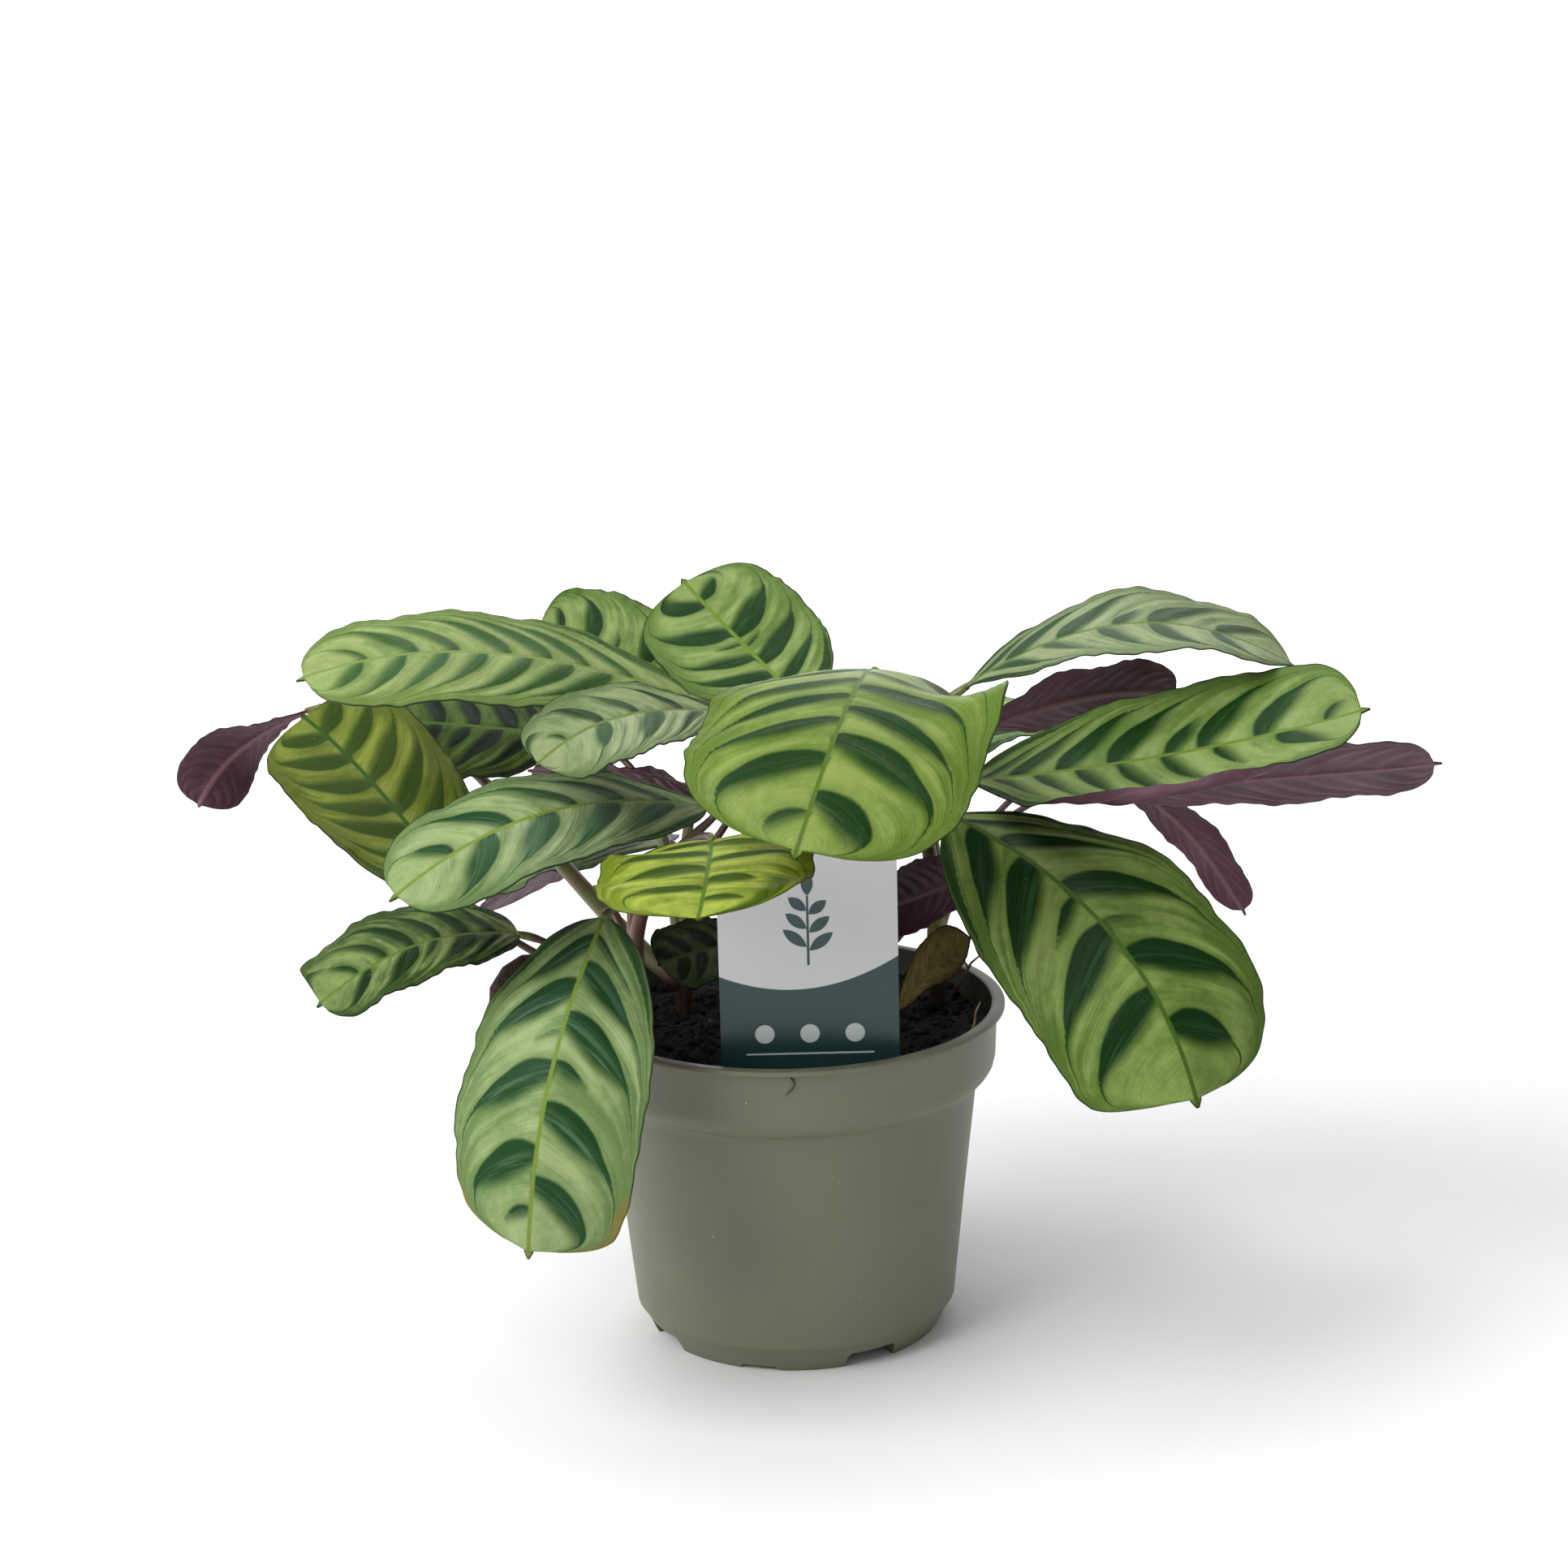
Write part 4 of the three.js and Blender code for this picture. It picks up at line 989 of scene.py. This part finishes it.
def make_crumbs(material, count=900):
    crumbs = Batch()
    base = bmesh.new()
    bmesh.ops.create_icosphere(base, subdivisions=1, radius=1.0)
    ball = np.array([v.co[:] for v in base.verts])
    ball_faces = [tuple(v.index for v in f.verts) for f in base.faces]
    base.free()
    for _ in range(count):
        r, x, y = on_soil(CRUMB_REACH)
        size = rng.uniform(0.35, 1.3) if rng.random() < 0.9 else rng.uniform(1.3, 2.1)
        shape = ball * (1 + rng.normal(0, 0.22, (len(ball), 1)))
        shape = shape * (size * rng.uniform(0.6, 1.2, 3))
        z = float(soil_height(x, y)) + 0.3 * size
        limit = CRUMB_EDGE - size * 1.3
        if r > limit:
            x, y = x * limit / r, y * limit / r
        crumbs.add(shape + (x, y, z), ball_faces)
    dress(crumbs.build("soil_crumbs"), [material])


def make_fibres(material, count=110, steps=7):
    fibres = Batch()
    for _ in range(count):
        _, x, y = on_soil(FIBRE_REACH)
        heading = rng.uniform(0, TAU)
        length = rng.uniform(3, 10)
        bend = rng.uniform(-1.2, 1.2)
        path = []
        for s in np.linspace(0, 1, steps):
            h = heading + bend * s
            x += math.cos(h) * length / steps
            y += math.sin(h) * length / steps
            if math.hypot(x, y) > FIBRE_EDGE:
                break
            path.append((x, y, float(soil_height(x, y)) + 0.9 + rng.uniform(-0.2, 0.5)))
        if len(path) > 3:
            fibres.add(*sweep(path, [rng.uniform(0.09, 0.2)] * len(path), 4))
    dress(fibres.build("soil_fibres"), [material])


# The label: a card with a plain two-colour face and a generic sprig, without words.

LABEL = SimpleNamespace(width=47.5, top=150, shoulder=82, spike=62, spike_width=14, thick=0.7, x=5.3, y=-43)


def label_outline():
    p = LABEL
    half, spike = p.width / 2, p.spike_width / 2
    corner = 2.0
    arc = [(half - corner + corner * math.sin(a), p.top - corner + corner * math.cos(a))
           for a in np.linspace(math.pi / 2, 0, 7)]
    right = [(0, p.spike), (spike * 0.5, p.spike + 3), (spike, p.spike + 8),
             (spike, p.shoulder - 6), (spike + 1.5, p.shoulder - 4), (half - 1.5, p.shoulder - 1),
             (half, p.shoulder + 1)] + arc
    left = [(-x, z) for x, z in right[:0:-1]]
    return right + left


def flat_shape(name, loops, depth, front, material, replaces=()):
    """A plate from x, z outlines: its front face at the given y, going back by depth. Millimetres."""
    batch = Batch()
    for loop in loops:
        n = len(loop)
        points = [(x, front, z) for x, z in loop] + [(x, front + depth, z) for x, z in loop]
        faces = [tuple(range(n)), tuple(range(2 * n - 1, n - 1, -1))]
        faces += [(i, i + n, (i + 1) % n + n, (i + 1) % n) for i in range(n)]
        batch.add(points, faces)
    piece = batch.build(name)
    mend_normals(piece.data)
    set_smooth(piece.data, False)
    dress(piece, [material], replaces)


def label_material():
    n = Nodes("label_card")
    x = n.axis("X") - LABEL.x * MM
    above = n.axis("Z") - (x * x * 11.0 + x * 0.1 + 0.1105)
    white = n.mix(n.noise(60, 2), srgb(204, 208, 207), srgb(210, 213, 212))
    teal = n.mix(n.noise(45, 2), srgb(30, 60, 60), srgb(34, 66, 65))
    colour = n.mix(n.smooth(above, -0.0001, 0.0001), teal, white)
    back = n.smooth(n.axis("Y"), (LABEL.y + 0.1) * MM, (LABEL.y + 0.2) * MM)
    colour = n.mix(back, colour, srgb(206, 209, 208))
    return n.finish(colour, 0.32, (n.noise(700, 2), 0.05, 0.0002))


def ink_material(name, colour):
    return mottled(name, srgb(*colour), srgb(*(c + 8 for c in colour)), (200, 2), 0.35, even=True)


def petal(cx, cz, heading, length, width):
    """A pointed leaf outline in the card's plane."""
    upper = [(length * t, width / 2 * math.sin(math.pi * t) ** 0.8) for t in np.linspace(0, 1, 9)]
    lower = [(a, -b) for a, b in upper[-2:0:-1]]
    c, s = math.cos(heading), math.sin(heading)
    return [(cx + a * c - b * s, cz + a * s + b * c) for a, b in upper + lower]


def make_label(card_material):
    front = LABEL.y - LABEL.thick / 2
    loop = [(x + LABEL.x, z) for x, z in label_outline()]
    flat_shape("label_card", [loop], LABEL.thick, front, card_material, ["label"])
    cx = LABEL.x
    stem = [(cx - 0.35, 117), (cx + 0.35, 117), (cx + 0.3, 136), (cx - 0.3, 136)]
    sprig = [stem, petal(cx, 136, math.pi / 2, 7, 3.2)]
    for k in range(3):
        z = 121 + 5 * k
        sprig.append(petal(cx + 0.3, z, math.radians(38), 8 - k, 3.0))
        sprig.append(petal(cx - 0.3, z + 1, math.radians(142), 8 - k, 3.0))
    flat_shape("label_sprig", sprig, 0.08, front - 0.04, ink_material("label_ink", (34, 66, 64)))
    turns = np.linspace(0, TAU, 25)[:-1]
    marks = [[(cx + dx + 2.6 * math.cos(a), 98 + 2.6 * math.sin(a)) for a in turns] for dx in (-12, 0, 12)]
    marks.append([(cx - 17, 92.2), (cx + 17, 92.2), (cx + 17, 92.7), (cx - 17, 92.7)])
    pale = ink_material("label_pale_ink", (188, 198, 195))
    flat_shape("label_dots", marks, 0.08, front - 0.04, pale)


# Loose bits: a hair on the band, specks of grit on the pot, straw and a twig on the soil, two husks. Paths
# and radii are in mm.

BAND_SIDE = 57.6


def on_band(turn, z, out):
    """A point outside the pot's band, on the given heading from the front."""
    return (*around(57.5 + (z - 78) * 0.03 + out, math.radians(turn - 90)), z)


def make_bits(name, material, bits):
    """One piece of several tubes, each given by its path, its radii, its sides and its flatness."""
    batch = Batch()
    for path, radii, sides, *flat in bits:
        batch.add(*sweep(path, radii, sides, *flat))
    dress(batch.build(name), [material])


HAIR = [
    ([on_band(-0.9, 91.2, 0.25), on_band(0.3, 90.6, 0.35), on_band(0.9, 89.2, 0.3),
      on_band(0.4, 87.8, 0.25), on_band(-0.8, 86.6, 0.3), on_band(-1.6, 86.0, 0.25)],
     [0.14, 0.2, 0.2, 0.18, 0.14, 0.08], 6),
    ([on_band(-0.2, 90.9, 0.25), on_band(0.2, 90.4, 0.6), on_band(0.5, 90.2, 1.0)], [0.16, 0.12, 0.06], 6),
]
GRIT = ((-12, 83.5, 0.3), (-27, 41, 0.35), (14, 58, 0.16), (31, 66, 0.14), (-40, 60, 0.18), (6, 30, 0.14),
        (22, 22, 0.16))
STRAW = [
    ([(49, -18, 87.6), (50.5, -17, 90.5), (51, -15.5, 93.5), (52.4, -14, 96)],
     [0.35, 0.45, 0.4, 0.2], 6, 0.5),
    ([(-36, -34, 87.2), (-32, -36, 87.6), (-28, -37, 87.6)], [0.3, 0.35, 0.2], 6, 0.5),
]
HUSKS = [
    ([(-66, -36, 119), (-70, -37, 118), (-74, -38, 115), (-77, -38, 110), (-78, -38, 105), (-77, -37, 103)],
     [0.9, 2.6, 3.6, 3.9, 2.9, 1.0], 14, 0.75),
    ([(-40, -16, 161), (-35, -15, 162.5), (-29, -16, 161), (-24, -18, 159), (-19, -20, 156)],
     [0.5, 1.7, 1.1, 1.9, 0.8], 10, 0.3),
]
TWIG = [
    ([(44, 12, 87.5), (49, 16, 92), (52, 20, 96.5), (56, 22, 99)], [0.5, 0.42, 0.34, 0.2], 6),
    ([(51, 18.6, 95), (50, 22, 97), (50.5, 25, 98)], [0.3, 0.24, 0.12], 6),
]


def grit_bits():
    """Specks on the pot's outside, from their heading, height and size."""
    for turn, z, size in GRIT:
        slope = (POT.neck - POT.corner) / (POT.neck_z - POT.corner_z)
        r = BAND_SIDE if z > POT.band_z else POT.corner + (z - POT.corner_z) * slope
        x, y = around(r, math.radians(turn - 90))
        path = [(x, y, z - size), (x * 1.003, y * 1.003, z), (x, y, z + size)]
        yield path, [size * 0.3, size * 0.5, size * 0.3], 6


# Floor, lights and camera.

def make_stage():
    """A pale floor that curves up to a wall behind. Metres."""
    material = mottled("floor", (0.86, 0.86, 0.86, 1), (0.88, 0.88, 0.88, 1), (3, 2), 0.9, even=True)
    section = [(-3.0, 0.0), (1.2, 0.0)]
    bends = np.linspace(0.1, math.pi / 2, 12)
    section += [(1.2 + 0.8 * math.sin(a), 0.8 - 0.8 * math.cos(a)) for a in bends]
    section += [(2.0, 3.2)]
    points = [(x, y, z) for y, z in section for x in (-4.0, 4.0)]
    faces = [(2 * i, 2 * i + 1, 2 * i + 3, 2 * i + 2) for i in range(len(section) - 1)]
    floor = make_object("floor", points, faces)
    floor.data.materials.append(material)


def area_light(name, place, target, size, power):
    data = bpy.data.lights.new(name, "AREA")
    data.shape = "DISK"
    data.size = size
    data.energy = power
    lamp = bpy.data.objects.new(name, data)
    lamp.location = place
    lamp.rotation_euler = (Vector(target) - Vector(place)).to_track_quat("-Z", "Y").to_euler()
    bpy.context.scene.collection.objects.link(lamp)


def make_lights():
    world = bpy.data.worlds.new("studio")
    world.use_nodes = True
    background = world.node_tree.nodes["Background"]
    background.inputs["Color"].default_value = (1, 1, 1, 1)
    background.inputs["Strength"].default_value = 0.38
    bpy.context.scene.world = world
    area_light("key", (-1.15, -0.7, 1.25), (0, 0, 0.12), 1.5, 36)
    area_light("fill", (-0.3, -1.4, 0.9), (0, 0, 0.12), 1.2, 1)
    area_light("top", (0.1, 0.5, 1.6), (0, 0, 0.15), 1.2, 11)
    area_light("backdrop", (0, 0.9, 1.5), (0, 2.2, 0.9), 2.0, 24)


# The photograph's camera: how steeply it looks down, its roll, distance (m), target and focal length (mm).
VIEW_DOWN = math.radians(14.4)
VIEW_ROLL = math.radians(-1.4)
VIEW_DISTANCE = 0.9
VIEW_TARGET = (0, 0, 0.1554)
VIEW_LENS = 75.4


def make_camera():
    forward = Vector((0, math.cos(VIEW_DOWN), -math.sin(VIEW_DOWN)))
    right = Vector((1, 0, 0))
    up = right.cross(forward)
    c, s = math.cos(VIEW_ROLL), math.sin(VIEW_ROLL)
    right, up = c * right + s * up, c * up - s * right
    data = bpy.data.cameras.new("camera")
    data.lens = VIEW_LENS
    data.sensor_width = 36
    data.clip_start = 0.01
    camera = bpy.data.objects.new("camera", data)
    place = Vector(VIEW_TARGET) - forward * VIEW_DISTANCE
    turn = Matrix((right, up, -forward)).transposed().to_4x4()
    camera.matrix_world = Matrix.Translation(place) @ turn
    bpy.context.scene.collection.objects.link(camera)
    bpy.context.scene.camera = camera


make_camera()
make_lights()
make_stage()

under = under_material("leaf_underside", (80, 50, 66), (112, 74, 92), (136, 98, 110))
# A darker copy of the underside: painted shade for a blade that hangs in shadow.
shaded_under = under_material("leaf_underside_painted_shade", (48, 22, 38), (74, 34, 58), (92, 56, 72))
uppers = {look: leaf_material(look) for look in LOOKS}
for seed, (name, blade) in enumerate(BLADES.items(), start=11):
    # by_label's underside gets the painted shade.
    back = shaded_under if name == "by_label" else under
    if blade.look == "dry":
        back = mottled("dry_underside", seen(104, 84, 54), seen(140, 120, 80), (120, 4), 0.75,
                       bump=(600, 3, 0.4, 0.0004))
    make_blade(name, blade, [uppers[blade.look], back], seed)

stem_material = petiole_material()
for name, (*foot, leaves) in SHOOTS.items():
    make_shoot(name, foot, leaves.split(), stem_material)

fibre = mottled("soil_fibre", srgb(44, 34, 26), srgb(92, 76, 54), (300, 3), 0.8)
hair = mottled("dark_hair", srgb(20, 17, 15), srgb(42, 34, 28), (300, 2), 0.6, even=True)
speck = mottled("pale_speck", srgb(206, 204, 196), srgb(226, 224, 218), (900, 2), 0.7, even=True)
straw = mottled("straw", srgb(150, 122, 76), srgb(186, 160, 110), (400, 3), 0.7, bump=(900, 2, 0.3, 0.0003))
soil_look = soil_material()
make_pot(pot_material())
make_soil(soil_look)
make_crumbs(soil_look)
make_fibres(fibre)
make_label(label_material())
make_bits("pot_hair", hair, HAIR)
make_bits("pot_specks", speck, grit_bits())
make_bits("straw_bits", straw, STRAW)
make_bits("brown_husks", husk_material(), HUSKS)
make_bits("twig", fibre, TWIG)

bpy.context.scene.view_settings.view_transform = "Standard"
